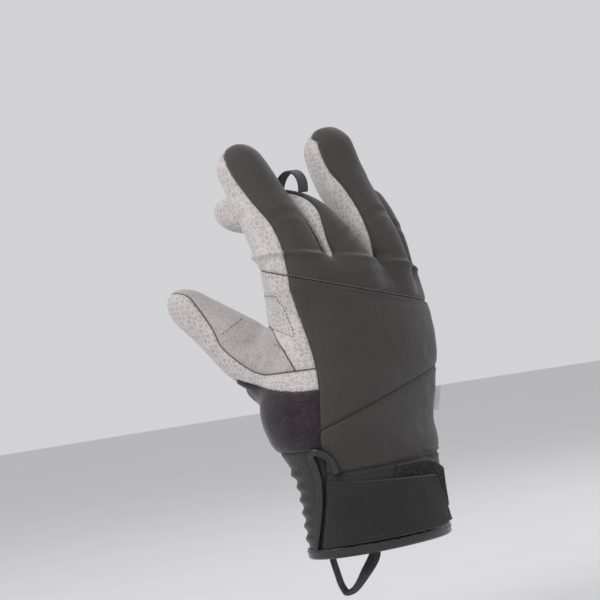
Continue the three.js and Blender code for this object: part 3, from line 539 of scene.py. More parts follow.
class Skin:
    """Triangles with named values at their vertices, each triangle in a panel."""

    # The two steps of the smoothing, and how far a cut draws vertices onto its line
    PUSHES = (0.5, -0.53)
    SNAP = 0.3

    def __init__(self, points, faces, values=None, panel=None):
        self.points, self.faces, self.values = points, faces, dict(values or {})
        self.panel = np.zeros(len(faces), int) if panel is None else panel

    def normals(self):
        """Outward direction at each vertex."""
        a, b, c = corners(self.points, self.faces)
        flat = np.cross(b - a, c - a)
        total = np.zeros_like(self.points)
        for k in range(3):
            np.add.at(total, self.faces[:, k], flat)
        return unit(total)

    def relax(self, times):
        """Smooths the mesh without shrinking it."""
        edges = edges_of(self.faces)
        count = np.bincount(edges[:, 0], minlength=len(self.points))[:, None]
        for i in range(2 * times):
            total = np.zeros_like(self.points)
            np.add.at(total, edges[:, 0], self.points[edges[:, 1]])
            push = self.PUSHES[i % 2]
            self.points = self.points + push * (total / np.maximum(count, 1) - self.points)

    def slope(self, name):
        """Surface gradient of a value at each vertex."""
        a, b, c = corners(self.points, self.faces)
        normal = np.cross(b - a, c - a)
        double = np.maximum((normal ** 2).sum(1), 1e-9)[:, None]
        value = self.values[name][self.faces]
        across = sum(
            value[:, [k]] * np.cross(normal, edge) for k, edge in enumerate((c - b, a - c, b - a))
        )
        total = np.zeros_like(self.points)
        weight = np.zeros(len(self.points))
        for k in range(3):
            np.add.at(total, self.faces[:, k], across / double)
            np.add.at(weight, self.faces[:, k], 1)
        return total / np.maximum(weight, 1)[:, None]

    def cut(self, name, level=0.0):
        """Splits the triangles along a line of equal value, so that its vertices lie on it."""
        value = self.values[name] - level
        slope = self.slope(name)
        steep = (slope ** 2).sum(1)
        near = (np.abs(value) < self.SNAP * np.sqrt(steep)) & (steep > 0.01)
        self.points[near] -= (value[near] / steep[near])[:, None] * slope[near]
        value[near] = 0
        self.values[name][near] = level
        sign = np.sign(value).astype(int)
        corner = sign[self.faces]
        crossing = (corner.max(1) > 0) & (corner.min(1) < 0)
        touched = crossing & (corner == 0).any(1)
        split = crossing & ~touched
        lone = np.where(corner.sum(1) > 0, -1, 1)
        first = (corner == lone[:, None]).argmax(1)
        first[touched] = (corner[touched] == 0).argmax(1)
        turned = self.faces[np.arange(len(self.faces))[:, None], (first[:, None] + np.arange(3)) % 3]
        a, b, c = turned[split].T
        z, p, q = turned[touched].T
        pairs = np.sort(np.vstack([np.stack([a, b], 1), np.stack([a, c], 1), np.stack([p, q], 1)]), 1)
        key, index = np.unique(pairs[:, 0] * len(self.points) + pairs[:, 1], return_inverse=True)
        low, high = key // len(self.points), key % len(self.points)
        t = value[low] / (value[low] - value[high])
        fresh = len(self.points) + index
        ab, ac, pq = np.split(fresh, [len(a), 2 * len(a)])
        sources = [~crossing, split, split, split, touched, touched]
        pieces = [
            self.faces[~crossing],
            np.stack([a, ab, ac], 1), np.stack([ab, b, c], 1), np.stack([ab, c, ac], 1),
            np.stack([z, p, pq], 1), np.stack([z, pq, q], 1),
        ]

        def extend(array):
            weight = t.reshape((-1,) + (1,) * (array.ndim - 1))
            return np.concatenate([array, array[low] * (1 - weight) + array[high] * weight])

        self.points = extend(self.points)
        self.values = {k: extend(v) for k, v in self.values.items()}
        if len(key):
            self.values[name][-len(key):] = level
        self.faces = np.vstack(pieces)
        self.panel = np.concatenate([self.panel[chosen] for chosen in sources])

    def part(self, chosen):
        """The chosen triangles with only their own vertices."""
        used, index = np.unique(self.faces[chosen], return_inverse=True)
        values = {k: v[used] for k, v in self.values.items()}
        return Skin(self.points[used], index.reshape(-1, 3), values, self.panel[chosen])


def across_view(points):
    """Distance to the right as the photograph's side sees a point."""
    turn = math.radians(SEAM_VIEW)
    return points[..., 0] * math.cos(turn) - points[..., 1] * math.sin(turn)


def short_of(line, seen, z):
    """How far a point is short of a line that the photograph's side sees, in the line's own direction."""
    return line["at"] * HAND_LENGTH - line["across"] * seen - line["up"] * z


def above_seam(seam, seen, z):
    """Height above a slanted seam that the photograph's side sees."""
    return z - seam["z"] * HAND_LENGTH - seam["tilt"] * seen


def finger_zone(name, points, fields):
    """Signed distance to the edge of a finger's back."""
    digit, spec = DIGIT_FORMS[name], DIGITS[name]
    at, side, out = digit.place(points)
    turn, away = digit.angle(side, out)
    wrap = spec["wrap"] * smooth(at, digit.straight + WRAP_FROM * digit.cap, digit.length)
    thumb_edge = digit.seam_angle(at, Curve(spec["seam"])(np.clip(at / digit.length, 0, 1)))
    zone = np.maximum(turn - thumb_edge, -turn - digit.seam_angle(at, LITTLE_SIDE_SEAM)) - wrap
    reach = ZONE_REACH + ROOT_REACH * (1 - smooth(at, *ROOT_PART))
    others = np.min([fields[other] for other in FINGERS if other != name], 0)
    off = np.maximum(fields[name] - reach, fields[name] - others - SHARED_REACH)
    return np.maximum.reduce([zone * np.radians(1) * away, off, digit.start - at])


def thumb_zone(points, off):
    """Signed distance to the edge of the band round the thumb."""
    thumb = DIGIT_FORMS["thumb"]
    at, side, out = thumb.place(points)
    turn, away = thumb.angle(side, out)
    away = away * np.radians(1)
    band_from = Curve(THUMB_BAND["from"])(np.clip(at / THUMB_LENGTH, THUMB_BAND["start"], 1))
    return np.maximum.reduce([
        (thumb.seam_angle(at, band_from) - turn) * away,
        (turn - thumb.seam_angle(at, THUMB_BAND["to"])) * away,
        THUMB_BAND["start"] * THUMB_LENGTH - at, off,
    ])


def measure_zones(skin, grid):
    """Signed distances, in millimetres, to each seam: negative inside the zone that it bounds."""
    points, v = skin.points, skin.values
    z, seen = points[:, 2], across_view(points)
    share = share_of(points)
    angle, radius = hand_angle(points, share)
    radius = np.radians(1) * radius
    edge = back_edge(share)

    def beyond(turn):
        return (angle - seam_angle(share, turn)) * radius

    v["back"] = np.maximum.reduce([
        beyond(edge), -beyond(BACK_SEAM_LITTLE_SIDE), (share - BACK_TOP) * HAND_LENGTH,
        grid.sample("hand", points) - HAND_ZONE_REACH,
    ])
    fields = {name: grid.sample(name, points) for name in FINGERS}
    for name in FINGERS:
        v["back"] = union(v["back"], finger_zone(name, points, fields), ZONE_BLEND)
    foot = short_of(THUMB_FOOT, seen, z)
    foot = -union(-foot, -(BAND_STRIP["bottom"] - share) * HAND_LENGTH, FOOT_BLEND)
    inner = -beyond(edge - UNDERLAP)
    strip = np.maximum.reduce([
        inner, beyond(BAND_STRIP["to"]), (share - BAND_STRIP["top"]) * HAND_LENGTH,
    ])
    band = thumb_zone(points, grid.sample("thumb", points) - ZONE_REACH)
    v["band"] = np.maximum(union(band, strip, BAND_BLEND), foot)
    v["thumb"] = np.maximum(short_of(THUMB_SEAM, seen, z), foot)
    v["wrist_panel"] = np.maximum.reduce([
        inner, beyond(WRIST_PANEL["to"]),
        (share - BAND_STRIP["bottom"] - WRIST_PANEL["overlap"]) * HAND_LENGTH,
        -PALM_SEAM - z,
    ])
    v["knuckles"] = above_seam(KNUCKLE_SEAM, seen, z)
    v["diagonal"] = above_seam(BACK_SEAM, seen, z)
    v["wrist"] = z + WRIST_SEAM
    v["palm_end"] = z + PALM_SEAM
    v["hem"] = z + HAND_LENGTH


PANELS = [
    "finger_backs", "hand_back", "wrist_back", "cuff_back", "thumb_band", "thumb_panel", "wrist_panel",
    "finger_fronts", "palm", "cuff_palm",
]


def label_faces(skin):
    """The panel of each triangle, by the zones that its middle is in."""
    middle = {name: value[skin.faces].mean(1) for name, value in skin.values.items()}
    back = middle["back"] < 0
    above = middle["knuckles"] > 0
    tests = [
        back & above,
        back & (middle["diagonal"] > 0),
        back & (middle["wrist"] > 0),
        back,
        middle["band"] < 0,
        middle["thumb"] < 0,
        middle["wrist_panel"] < 0,
        above,
        middle["palm_end"] > 0,
    ]
    return np.select(tests, range(len(tests)), len(PANELS) - 1)


def face_pairs(faces):
    """Pairs of triangles that share an edge, with the edge's two vertices."""
    edges = np.sort(edges_of(faces), 1)
    owner = np.tile(np.arange(len(faces)), 3)
    key = edges[:, 0] * (faces.max() + 1) + edges[:, 1]
    order = np.argsort(key, kind="stable")
    same = np.flatnonzero(key[order][1:] == key[order][:-1])
    return owner[order[same]], owner[order[same + 1]], edges[order[same]]


def drop_crumbs(skin, labels):
    """Gives small islands of a panel to the panel beside them."""
    left, right, _ = face_pairs(skin.faces)
    for _ in range(3):
        island = np.arange(len(labels))
        joined = labels[left] == labels[right]
        a, b = left[joined], right[joined]
        while True:
            low = np.minimum(island[a], island[b])
            before = island.copy()
            np.minimum.at(island, a, low)
            np.minimum.at(island, b, low)
            island = island[island]
            if (island == before).all():
                break
        size = np.bincount(island, minlength=len(labels))
        largest = {k: size[island[labels == k]].max() for k in np.unique(labels)}
        crumb = size[island] < np.array([largest.get(k, 0) for k in range(len(PANELS))])[labels]
        edge = crumb[left] & ~crumb[right]
        other = crumb[right] & ~crumb[left]
        if not crumb.any():
            break
        host = labels.copy()
        host[island[left[edge]]] = labels[right[edge]]
        host[island[right[other]]] = labels[left[other]]
        labels = np.where(crumb, host[island], labels)
    return labels


def seam_lines(skin):
    """Vertex pairs along every seam between two panels, and the panels of each."""
    left, right, edges = face_pairs(skin.faces)
    seam = skin.panel[left] != skin.panel[right]
    return edges[seam], np.stack([skin.panel[left[seam]], skin.panel[right[seam]]], 1)


def pair_key(a, b):
    """One number for two panels that share a seam."""
    return np.minimum(a, b) * len(PANELS) + np.maximum(a, b)


def nearest(points, targets):
    """Distance from each point to the nearest target, and which one it is."""
    tree = KDTree(len(targets))
    for i, target in enumerate(targets):
        tree.insert(target, i)
    tree.balance()
    found = [tree.find(p) for p in points]
    return np.array([f[2] for f in found]), np.array([f[1] for f in found])


def chain(edges):
    """Vertex pairs joined into runs."""
    links = {}
    for a, b in edges:
        links.setdefault(a, []).append(b)
        links.setdefault(b, []).append(a)
    used, runs = set(), []
    starts = [v for v in links if len(links[v]) != 2] + list(links)
    for start in starts:
        for step in links[start]:
            if (start, step) in used:
                continue
            run = [start, step]
            used.update({(start, step), (step, start)})
            while len(links[run[-1]]) == 2:
                ahead = [v for v in links[run[-1]] if (run[-1], v) not in used]
                if not ahead:
                    break
                used.update({(run[-1], ahead[0]), (ahead[0], run[-1])})
                run.append(ahead[0])
            runs.append(run)
    return runs


def waves(points, length, seed, count=14):
    """Smooth noise between about -1 and 1 from a few waves in all directions."""
    draw = np.random.default_rng(seed)
    total = 0
    for _ in range(count):
        direction = unit(draw.normal(size=3))
        size = length * draw.uniform(0.7, 1.5)
        total = total + np.sin(points @ direction * 2 * np.pi / size + draw.uniform(0, 2 * np.pi))
    return total / math.sqrt(count) * 0.9


def gathers(points):
    """Height of the cuff's gathers."""
    share = share_of(points)
    angle, _ = hand_angle(points, share)
    angle = np.where(angle < -60, angle + 360, angle)
    around = smooth(angle, GATHER_TURNS["from"], GATHER_TURNS["full"])
    around = around * (1 - smooth(angle, GATHER_TURNS["fade"], GATHER_TURNS["to"]))
    drift = GATHER_DRIFT * waves(points * (1, 1, 0.3), 46, 11)
    down = (-share - GATHER_TOP + drift) / (GATHER_BOTTOM - GATHER_TOP)
    ripple = 0.5 - 0.5 * np.cos(2 * np.pi * GATHER_COUNT * down)
    inside = (down > 0) & (down < 1)
    return GATHER_HEIGHT * around * np.where(inside, ripple ** GATHER_SHARPNESS, 0)


# Creases: what they are on, points along them, how deep and how wide. The points are shares of the length
# with degrees from the back. On the side that the photo shows they are millimetres to the right and up.
CREASES = [
    ("thumb", [(0.30, 40), (0.37, 62), (0.40, 84)], 1.5, 3.2),
    ("thumb", [(0.50, 96), (0.55, 120), (0.57, 145)], 0.9, 2.6),
    ("thumb", [(0.22, 70), (0.27, 96), (0.30, 120)], 1.2, 3.0),
    ("index", [(0.38, -20), (0.42, 14), (0.41, 50)], 0.45, 2.6),
    ("index", [(0.52, 70), (0.54, 110), (0.52, 150)], 0.8, 2.4),
    ("index", [(0.16, 40), (0.20, 80), (0.17, 120)], 0.9, 3.0),
    ("middle", [(0.16, -60), (0.19, -10), (0.16, 40)], 0.6, 2.6),
    ("middle", [(0.50, 110), (0.52, 180), (0.50, 250)], 1.8, 2.6),
    ("middle", [(0.58, 100), (0.60, 180), (0.58, 260)], 1.6, 2.2),
    ("ring", [(0.30, -40), (0.33, 0), (0.30, 44)], 0.5, 2.6),
    ("ring", [(0.50, 110), (0.54, 180), (0.50, 250)], 1.0, 2.4),
    ("little", [(0.45, -50), (0.50, 0), (0.46, 40)], 0.6, 2.4),
    ("hand", [(-0.62, -70), (-0.60, -84), (-0.612, -100)], 1.2, 3.0),
    ("hand", [(-0.05, 14), (-0.03, -2), (-0.045, -24)], 0.5, 3.0),
    ("hand", [(-0.30, 92), (-0.24, 100), (-0.16, 104)], 1.0, 4.0),
    ("hand", [(-0.20, 150), (-0.22, 180), (-0.20, 215)], 1.2, 4.0),
    ("hand", [(-0.50, 160), (-0.47, 190), (-0.50, 225)], 1.2, 4.0),
    ("seen", [(-66.7, -35.3), (-57.5, -35.0), (-48.3, -34.6)], 1.3, 3.0),
    ("seen", [(-55.9, -48.0), (-49.4, -41.7)], 1.1, 2.6),
    ("seen", [(-40.6, 29.2), (-35.1, 33.2)], 0.8, 2.2),
    ("seen", [(32.3, -116.0), (39.2, -118.9), (43.4, -119.0)], 1.3, 2.4),
    ("seen", [(24.5, 6.7), (33.3, 5.3)], 0.7, 1.8),
    ("seen", [(-1.3, -17.8), (3.0, -36.7), (2.4, -56.0)], 0.5, 6.0),
]
CREASE_STEPS = 60
CREASE_REACH = 4

# The low roll beside a crease: its height as a share of the depth, its place and its spread in widths
ROLL_HEIGHT = 0.45
ROLL_PLACE = 1.7
ROLL_SPREAD = 0.6


def crease_line(form, route, tree):
    """Points 1 mm or so apart along a crease."""
    if form == "seen":
        return seen_line(tree, route)[0]
    along, turn = resample(route, CREASE_STEPS).T
    if form == "hand":
        return on_hand(along, turn)
    digit = DIGIT_FORMS[form]
    return digit.point(along * digit.length, turn)


def press_creases(points, faces):
    """How far each crease pushes the skin in, with a low roll on both sides."""
    tree = BVHTree.FromPolygons(points.tolist(), faces.tolist())
    depth = np.zeros(len(points))
    for form, route, deep, wide in CREASES:
        line = crease_line(form, route, tree)
        reach = CREASE_REACH * wide
        low, high = line.min(0) - reach, line.max(0) + reach
        close = np.flatnonzero(((points > low) & (points < high)).all(1))
        if not len(close):
            continue
        gap = np.linalg.norm(points[close][:, None] - line[None], axis=2)
        step = gap.argmin(1)
        fade = np.sin(np.pi * (step + 0.5) / len(line)) ** 0.5
        away = gap.min(1) / wide
        shape = np.exp(-away ** 2) - ROLL_HEIGHT * np.exp(-(away - ROLL_PLACE) ** 2 / ROLL_SPREAD)
        depth[close] += deep * fade * shape
    return depth


SEAM_RINGS = (0.8, 1.8)
SEAM_DEPTH = 0.95
SEAM_WIDTH = 1.9
PUFF = 0.55
PUFF_REACH = 9.0
CUFF_STIFFNESS = 0.7
WRIST_FADE = (-4, 2)

# Loose waves of the cloth: height, length and seed
LOOSE_WAVES = ((0.30, 34, 3), (0.12, 13, 4))
LOOSE_REACH = 6


def shape_skin(skin):
    """Sinks the seams, fills the panels between them and adds creases and gathers."""
    rest = skin.points.copy()
    normal = skin.normals()
    away = skin.values["seam"]
    sunk = SEAM_DEPTH * (1 - smooth(away, 0, SEAM_WIDTH))
    full = PUFF * smooth(away, 0, PUFF_REACH)
    loose = smooth(away, 0, LOOSE_REACH) * sum(high * waves(rest, *wave) for high, *wave in LOOSE_WAVES)
    hem = smooth(skin.values["hem"], 0, 2 * BINDING_HEIGHT)
    cuff = 1 - smooth(skin.values["wrist"], *WRIST_FADE)
    soft = (full + loose) * (1 - CUFF_STIFFNESS * cuff)
    lift = -sunk + hem * (soft - press_creases(rest, skin.faces))
    skin.points = rest + (lift + gathers(rest))[:, None] * normal


def make_shell():
    """The whole skin, cut along its seams, with each triangle's panel."""
    grid = Grid()
    skin = grid.mesh()
    skin.relax(3)
    measure_zones(skin, grid)
    for name in ("hem", "back", "band", "thumb", "wrist_panel", "knuckles", "diagonal", "wrist", "palm_end"):
        skin.cut(name)
    skin = skin.part(skin.values["hem"][skin.faces].mean(1) > 0)
    skin.panel = drop_crumbs(skin, label_faces(skin))
    edges, pairs = seam_lines(skin)
    ends = skin.points[edges]
    away, which = nearest(skin.points, np.vstack([ends[:, 0], ends[:, 1], ends.mean(1)]))
    skin.values["seam"] = away
    skin.values["pair"] = pair_key(pairs[:, 0], pairs[:, 1])[which % len(pairs)].astype(float)
    for distance in SEAM_RINGS:
        skin.cut("seam", distance)
    return skin


def build_object(name, points, faces, values=None):
    """Blender mesh object from points in millimetres and faces with three or four corners each."""
    mesh = bpy.data.meshes.new(name)
    points = to_row(points)
    faces = np.asarray(faces)
    mesh.vertices.add(len(points))
    mesh.vertices.foreach_set("co", points.astype(np.float32).ravel())
    mesh.loops.add(faces.size)
    mesh.loops.foreach_set("vertex_index", faces.astype(np.int32).ravel())
    mesh.polygons.add(len(faces))
    sides = faces.shape[1]
    mesh.polygons.foreach_set("loop_start", np.arange(0, faces.size, sides, dtype=np.int32))
    mesh.polygons.foreach_set("use_smooth", np.ones(len(faces), bool))
    for key, value in (values or {}).items():
        mesh.attributes.new(key, "FLOAT", "POINT").data.foreach_set("value", value.astype(np.float32))
    mesh.update(calc_edges=True)
    mesh.validate()
    piece = bpy.data.objects.new(name, mesh)
    bpy.context.scene.collection.objects.link(piece)
    return piece


def add_piece(name, points, faces, material, node=None, values=None):
    """A piece of the glove in its material, standing for a solid if it is given one."""
    piece = build_object(name, points, faces, values)
    piece.data.materials.append(material)
    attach(piece, "root")
    if node:
        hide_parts(node)
    return piece


def make_panel(name, shell, normals, material):
    """A panel of the shell as a closed wall: its skin, an inner face and a rim round its edge."""
    chosen = shell.panel == PANELS.index(name)
    used, index = np.unique(shell.faces[chosen], return_inverse=True)
    faces = index.reshape(-1, 3)
    outer = shell.points[used]
    inner = outer - normals[used] * SKIN_THICKNESS
    edges = edges_of(faces)
    key = edges[:, 0] * len(used) + edges[:, 1]
    back = edges[:, 1] * len(used) + edges[:, 0]
    rim = edges[~np.isin(key, back)]
    outer += rim_step(outer, rim, normals[used])
    n = len(used)
    a, b = rim[:, 0], rim[:, 1]
    walls = np.vstack([np.stack([b, a, a + n], 1), np.stack([b, a + n, b + n], 1)])
    everything = np.vstack([faces, faces[:, ::-1] + n, walls])
    points = np.vstack([outer, inner])
    values = {"seam": np.tile(shell.values["seam"][used], 2), "inside": np.repeat([0.0, 1.0], n)}
    piece = add_piece("skin_" + name, points, everything, material, name, values)
    return piece


def rim_step(points, rim, normals):
    """A small step inwards along the panel for each vertex on its edge, so that panels don't touch."""
    step = np.zeros_like(points)
    along = unit(points[rim[:, 1]] - points[rim[:, 0]])
    for k in range(2):
        np.add.at(step, rim[:, k], np.cross(normals[rim[:, k]], along))
    return unit(step) * SEAM_GAP / 4


STITCH_LENGTH = 2.3
STITCH_RADIUS = 0.24
STITCH_STEPS = 5
STITCH_SIDES = 5
STITCH_ARCH = 2.4
STITCH_DIP = 1.2
STITCH_SLIP = 0.12
STITCH_REACH = 0.8


def stitch_template():
    """A short thread that dips into the cloth at both ends: along, across and up, with its faces."""
    t = np.linspace(0, 1, STITCH_STEPS)
    along = (t - 0.5) * STITCH_LENGTH
    rise = STITCH_RADIUS * (STITCH_ARCH * np.sin(np.pi * t) - STITCH_DIP)
    girth = STITCH_RADIUS * (0.55 + 0.45 * np.sin(np.pi * t))
    turn = np.arange(STITCH_SIDES) * 2 * np.pi / STITCH_SIDES
    ring = np.stack([
        np.repeat(along, STITCH_SIDES),
        (girth[:, None] * np.cos(turn)).ravel(),
        (rise[:, None] + girth[:, None] * np.sin(turn)).ravel(),
    ], 1)
    return ring, outward(ring, tube_faces(STITCH_STEPS, STITCH_SIDES))


def tube_faces(rings, sides, closed=False):
    """Triangles of a tube of rings, with flat ends unless it closes on itself."""
    i, j = np.meshgrid(np.arange(rings if closed else rings - 1), np.arange(sides), indexing="ij")
    a = i * sides + j
    b = i * sides + (j + 1) % sides
    c, d = ((i + 1) % rings) * sides + j, ((i + 1) % rings) * sides + (j + 1) % sides
    faces = [np.stack([a, c, b], -1).reshape(-1, 3), np.stack([b, c, d], -1).reshape(-1, 3)]
    if not closed:
        fan = np.arange(1, sides - 1)
        last = (rings - 1) * sides
        faces.append(np.stack([np.zeros_like(fan), fan, fan + 1], 1))
        faces.append(np.stack([last + np.zeros_like(fan), last + fan + 1, last + fan], 1))
    return np.vstack(faces)


class Threads:
    """Stitches gathered from many lines into one joined mesh."""

    def __init__(self, seed):
        self.points, self.faces, self.count = [], [], 0
        self.draw = np.random.default_rng(seed)

    def sew(self, line, normals, pitch, size=1.0):
        """Stitches along a line on a surface with these normals."""
        step = np.linalg.norm(np.diff(line, axis=0), axis=1)
        run = np.concatenate([[0], np.cumsum(step)])
        if run[-1] < pitch:
            return
        places = np.arange(pitch / 2, run[-1], pitch)
        places = places + self.draw.uniform(-STITCH_SLIP, STITCH_SLIP, len(places))
        middle = track(places, run, line)
        along = unit(track(places + STITCH_REACH, run, line) - track(places - STITCH_REACH, run, line))
        up = unit(track(places, run, normals))
        across = unit(np.cross(up, along))
        up = np.cross(along, across)
        ring, faces = stitch_template()
        ring = ring * size
        points = (middle[:, None] + ring[None, :, [0]] * along[:, None]
                  + ring[None, :, [1]] * across[:, None] + ring[None, :, [2]] * up[:, None])
        start = self.count + np.arange(len(places))[:, None, None] * len(ring)
        self.points.append(points.reshape(-1, 3))
        self.faces.append((faces[None] + start).reshape(-1, 3))
        self.count += len(places) * len(ring)

    def finish(self, name, material, slot):
        add_piece(name, np.vstack(self.points), np.vstack(self.faces), material)


def level_line(skin, faces, name, level):
    """Points where a value is at a level: two vertices and the share between them, and runs of points."""
    value = skin.values[name] - level
    value = np.where(value == 0, 1e-9, value)
    sign = value[faces] > 0
    crossing = (sign.sum(1) > 0) & (sign.sum(1) < 3)
    faces = faces[crossing]
    edges = np.sort(np.stack(np.split(edges_of(faces), 3), 1), 2)
    hit = (value[edges[..., 0]] > 0) != (value[edges[..., 1]] > 0)
    ends = edges[hit].reshape(-1, 2, 2)
    key = ends[..., 0] * len(skin.points) + ends[..., 1]
    unique, index = np.unique(key, return_inverse=True)
    low, high = unique // len(skin.points), unique % len(skin.points)
    t = value[low] / (value[low] - value[high])
    return low, high, t, chain(index.reshape(-1, 2).tolist())


def sew_seam(threads, shell, normals, panel, beside, offset, pitch, size):
    """Topstitching on a panel at an offset from its seam with the panel beside it."""
    wanted = pair_key(PANELS.index(panel), PANELS.index(beside))
    near = (np.rint(shell.values["pair"][shell.faces]) == wanted).all(1)
    faces = shell.faces[(shell.panel == PANELS.index(panel)) & near]
    if not len(faces):
        return
    low, high, t, runs = level_line(shell, faces, "seam", offset)
    points = shell.points[low] * (1 - t)[:, None] + shell.points[high] * t[:, None]
    up = unit(normals[low] * (1 - t)[:, None] + normals[high] * t[:, None])
    for run in runs:
        line, line_up = points[run], up[run]
        if len(run) > 4:
            line[1:-1] = (line[:-2] + 2 * line[1:-1] + line[2:]) / 4
        threads.sew(line, line_up, pitch, size)


# Stitched lines that the photo's side sees: to the right and up, in millimetres of the hand frame
SEEN_STITCHES = {
    "band_patch": [(-46.0, -8.3), (-39.4, -9.3), (-35.6, -16.0), (-33.7, -22.9),
                   (-31.7, -33.0), (-32.5, -34.7), (-43.6, -28.1)],
    "thumb_cross": [(-60.5, -19.3), (-74.5, -27.4)],
    "palm_dart": [(-44.4, -37.0), (-38.5, -41.6), (-37.0, -47.3), (-33.4, -55.8)],
    "knuckle_fold": [(24.5, 6.7), (33.3, 5.3)],
}
SEEN_STEPS = 12
SEEN_PITCH = 2.0
SEEN_THREAD = 0.8


def seen_line(tree, route):
    """Points and normals where rays from the photo's side meet the skin along a route."""
    turn = math.radians(SEAM_VIEW)
    flat = np.array([math.cos(turn), -math.sin(turn), 0])
    ahead = np.array([math.sin(turn), math.cos(turn), 0])
    points, normals = [], []
    for u, z in resample(route, SEEN_STEPS * len(route)):
        start = flat * u + (0, 0, z) - ahead * 2 * HAND_WIDTH
        hit, normal, _, _ = tree.ray_cast(start, ahead)
        if hit is not None:
            points.append(hit)
            normals.append(normal)
    return np.array(points), np.array(normals)


def sweep(points, across, out, section):
    """Tube whose section of (across, out) pairs follows a line. Its ends are flat."""
    rings = (points[:, None] + section[None, :, [0]] * across[:, None]
             + section[None, :, [1]] * out[:, None])
    points = rings.reshape(-1, 3)
    return points, outward(points, tube_faces(len(rings), len(section)))


def outward(points, faces):
    """The faces turned so that a closed mesh has its volume inside."""
    a, b, c = corners(points, faces)
    return faces if (a * np.cross(b, c)).sum() > 0 else faces[:, ::-1]


# Where the points of a round edge lie, as shares of its radius
ROUND_STEPS = (0, 0.08, 0.25, 0.5, 0.8, 1.2)

# The dent of a stitched row in a sheet: share of the thickness, and half width
DENT_DEPTH = 0.16
DENT_WIDTH = 0.7


def spread_steps(length, step, edge):
    """Places along a length, close together at both ends where the edge is round."""
    near = edge * np.array(ROUND_STEPS)
    middle = np.linspace(near[-1], length - near[-1], max(int(length / step), 2))
    return np.concatenate([near[:-1], middle, (length - near[:-1])[::-1]]) / length


def plump_sheet(place, long, high, thickness, step=1.6, stitch_rows=()):
    """Closed sheet with round edges. place(u, v, w) gives a point, w from 0 inside to 1 outside."""
    u = spread_steps(long, step, thickness / 2)
    v = spread_steps(high, step, thickness / 2)
    U, V = np.meshgrid(u, v, indexing="ij")
    edge = np.minimum.reduce([U * long, (1 - U) * long, V * high, (1 - V) * high])
    full = np.sqrt(1 - (1 - np.clip(edge / (thickness / 2), 0, 1)) ** 2)
    dent = sum(DENT_DEPTH * np.exp(-((edge - row) / DENT_WIDTH) ** 2) for row in stitch_rows)
    outer = place(U, V, 0.5 + 0.5 * full - dent)
    inner = place(U, V, 0.5 - 0.5 * full)
    count = U.size
    index = np.arange(count).reshape(U.shape)
    border = np.zeros(U.shape, bool)
    border[[0, -1], :] = True
    border[:, [0, -1]] = True
    under = index + count
    under[border] = index[border]
    points = np.vstack([outer.reshape(-1, 3), inner.reshape(-1, 3)])

    def quads(i):
        a, b, c, d = i[:-1, :-1], i[1:, :-1], i[1:, 1:], i[:-1, 1:]
        return np.vstack([np.stack([a, b, c], -1).reshape(-1, 3), np.stack([a, c, d], -1).reshape(-1, 3)])

    faces = np.vstack([quads(index), quads(under)[:, ::-1]])
    used, fresh = np.unique(faces, return_inverse=True)
    points, faces = points[used], fresh.reshape(-1, 3)
    return points, outward(points, faces)


def surface_up(place, u, v):
    """Outward direction of a sheet at places on it."""
    return unit(place(u, v, np.ones_like(u)) - place(u, v, np.zeros_like(u)))


def strap_place(u, v, w):
    """The hook flap over the back of the cuff."""
    bottom = HAND_LENGTH - BINDING_HEIGHT - 2 * SEAM_GAP
    low = bottom - STRAP_HEM_RISE * smooth(u, STRAP_LIFT_FROM, 1)
    high = bottom - STRAP_HEIGHT + STRAP_NARROWING * u
    start = STRAP_START["top"] + (STRAP_START["hem"] - STRAP_START["top"]) * v
    end = STRAP_END["top"] + (STRAP_END["hem"] - STRAP_END["top"]) * v
    over = smooth(u, *STRAP_CLIMB) * (PATCH_THICKNESS + SEAM_GAP)
    grow = SEAM_GAP + over + STRAP_FLARE * u ** 5 + w * STRAP_THICKNESS
    down = high + (low - high) * v
    return on_hand(-down / HAND_LENGTH, start + (end - start) * u, grow)


# The flap as it is sewn: middle length, inset and height in the cloth of its stitched row, and its rumple
STRAP_LONG = 88.0
STRAP_HIGH = STRAP_HEIGHT - STRAP_NARROWING / 2
STRAP_INSET = 2.6
STRAP_ROW_HEIGHT = 0.86
STRAP_ROW_STEPS = 120
STRAP_PITCH = 2.8
STRAP_RUMPLE = 0.25


def rumpled(points):
    """Points of the flap moved in and out by its rumple."""
    return points + STRAP_RUMPLE * waves(points, 22, 21)[:, None] * unit(points * (1, 1, 0))


def make_strap(threads, material):
    """The flap with a row of stitches round its edge. Returns the flap."""
    points, faces = plump_sheet(
        strap_place, STRAP_LONG, STRAP_HIGH, STRAP_THICKNESS, stitch_rows=(STRAP_INSET,)
    )
    flap = add_piece("flap", rumpled(points), faces, material, "strap")
    a, b = STRAP_INSET / STRAP_LONG, STRAP_INSET / STRAP_HIGH
    ring = [(a, b), (1 - a, b), (1 - a, 1 - b), (a, 1 - b), (a, b)]
    for side in zip(ring, ring[1:]):
        u, v = resample(side, STRAP_ROW_STEPS).T
        line = rumpled(strap_place(u, v, np.full_like(u, STRAP_ROW_HEIGHT)))
        threads.sew(line, surface_up(strap_place, u, v), STRAP_PITCH)
    return flap


def patch_place(u, v, w):
    """The loop patch under the flap, with a pointed end on the back of the cuff."""
    top = WRIST_SEAM + PATCH_DROP
    point = PATCH_POINT["reach"] * np.abs(v - PATCH_POINT["at"])
    start = PATCH_TURNS["point"] - point
    turn = start + (PATCH_TURNS["end"] - start) * u
    slant = PATCH_SLANT * smooth(u, *PATCH_SLANTS)
    down = top + slant + (PATCH_HEIGHT - slant) * v
    return on_hand(-down / HAND_LENGTH, turn, SEAM_GAP + w * PATCH_THICKNESS)


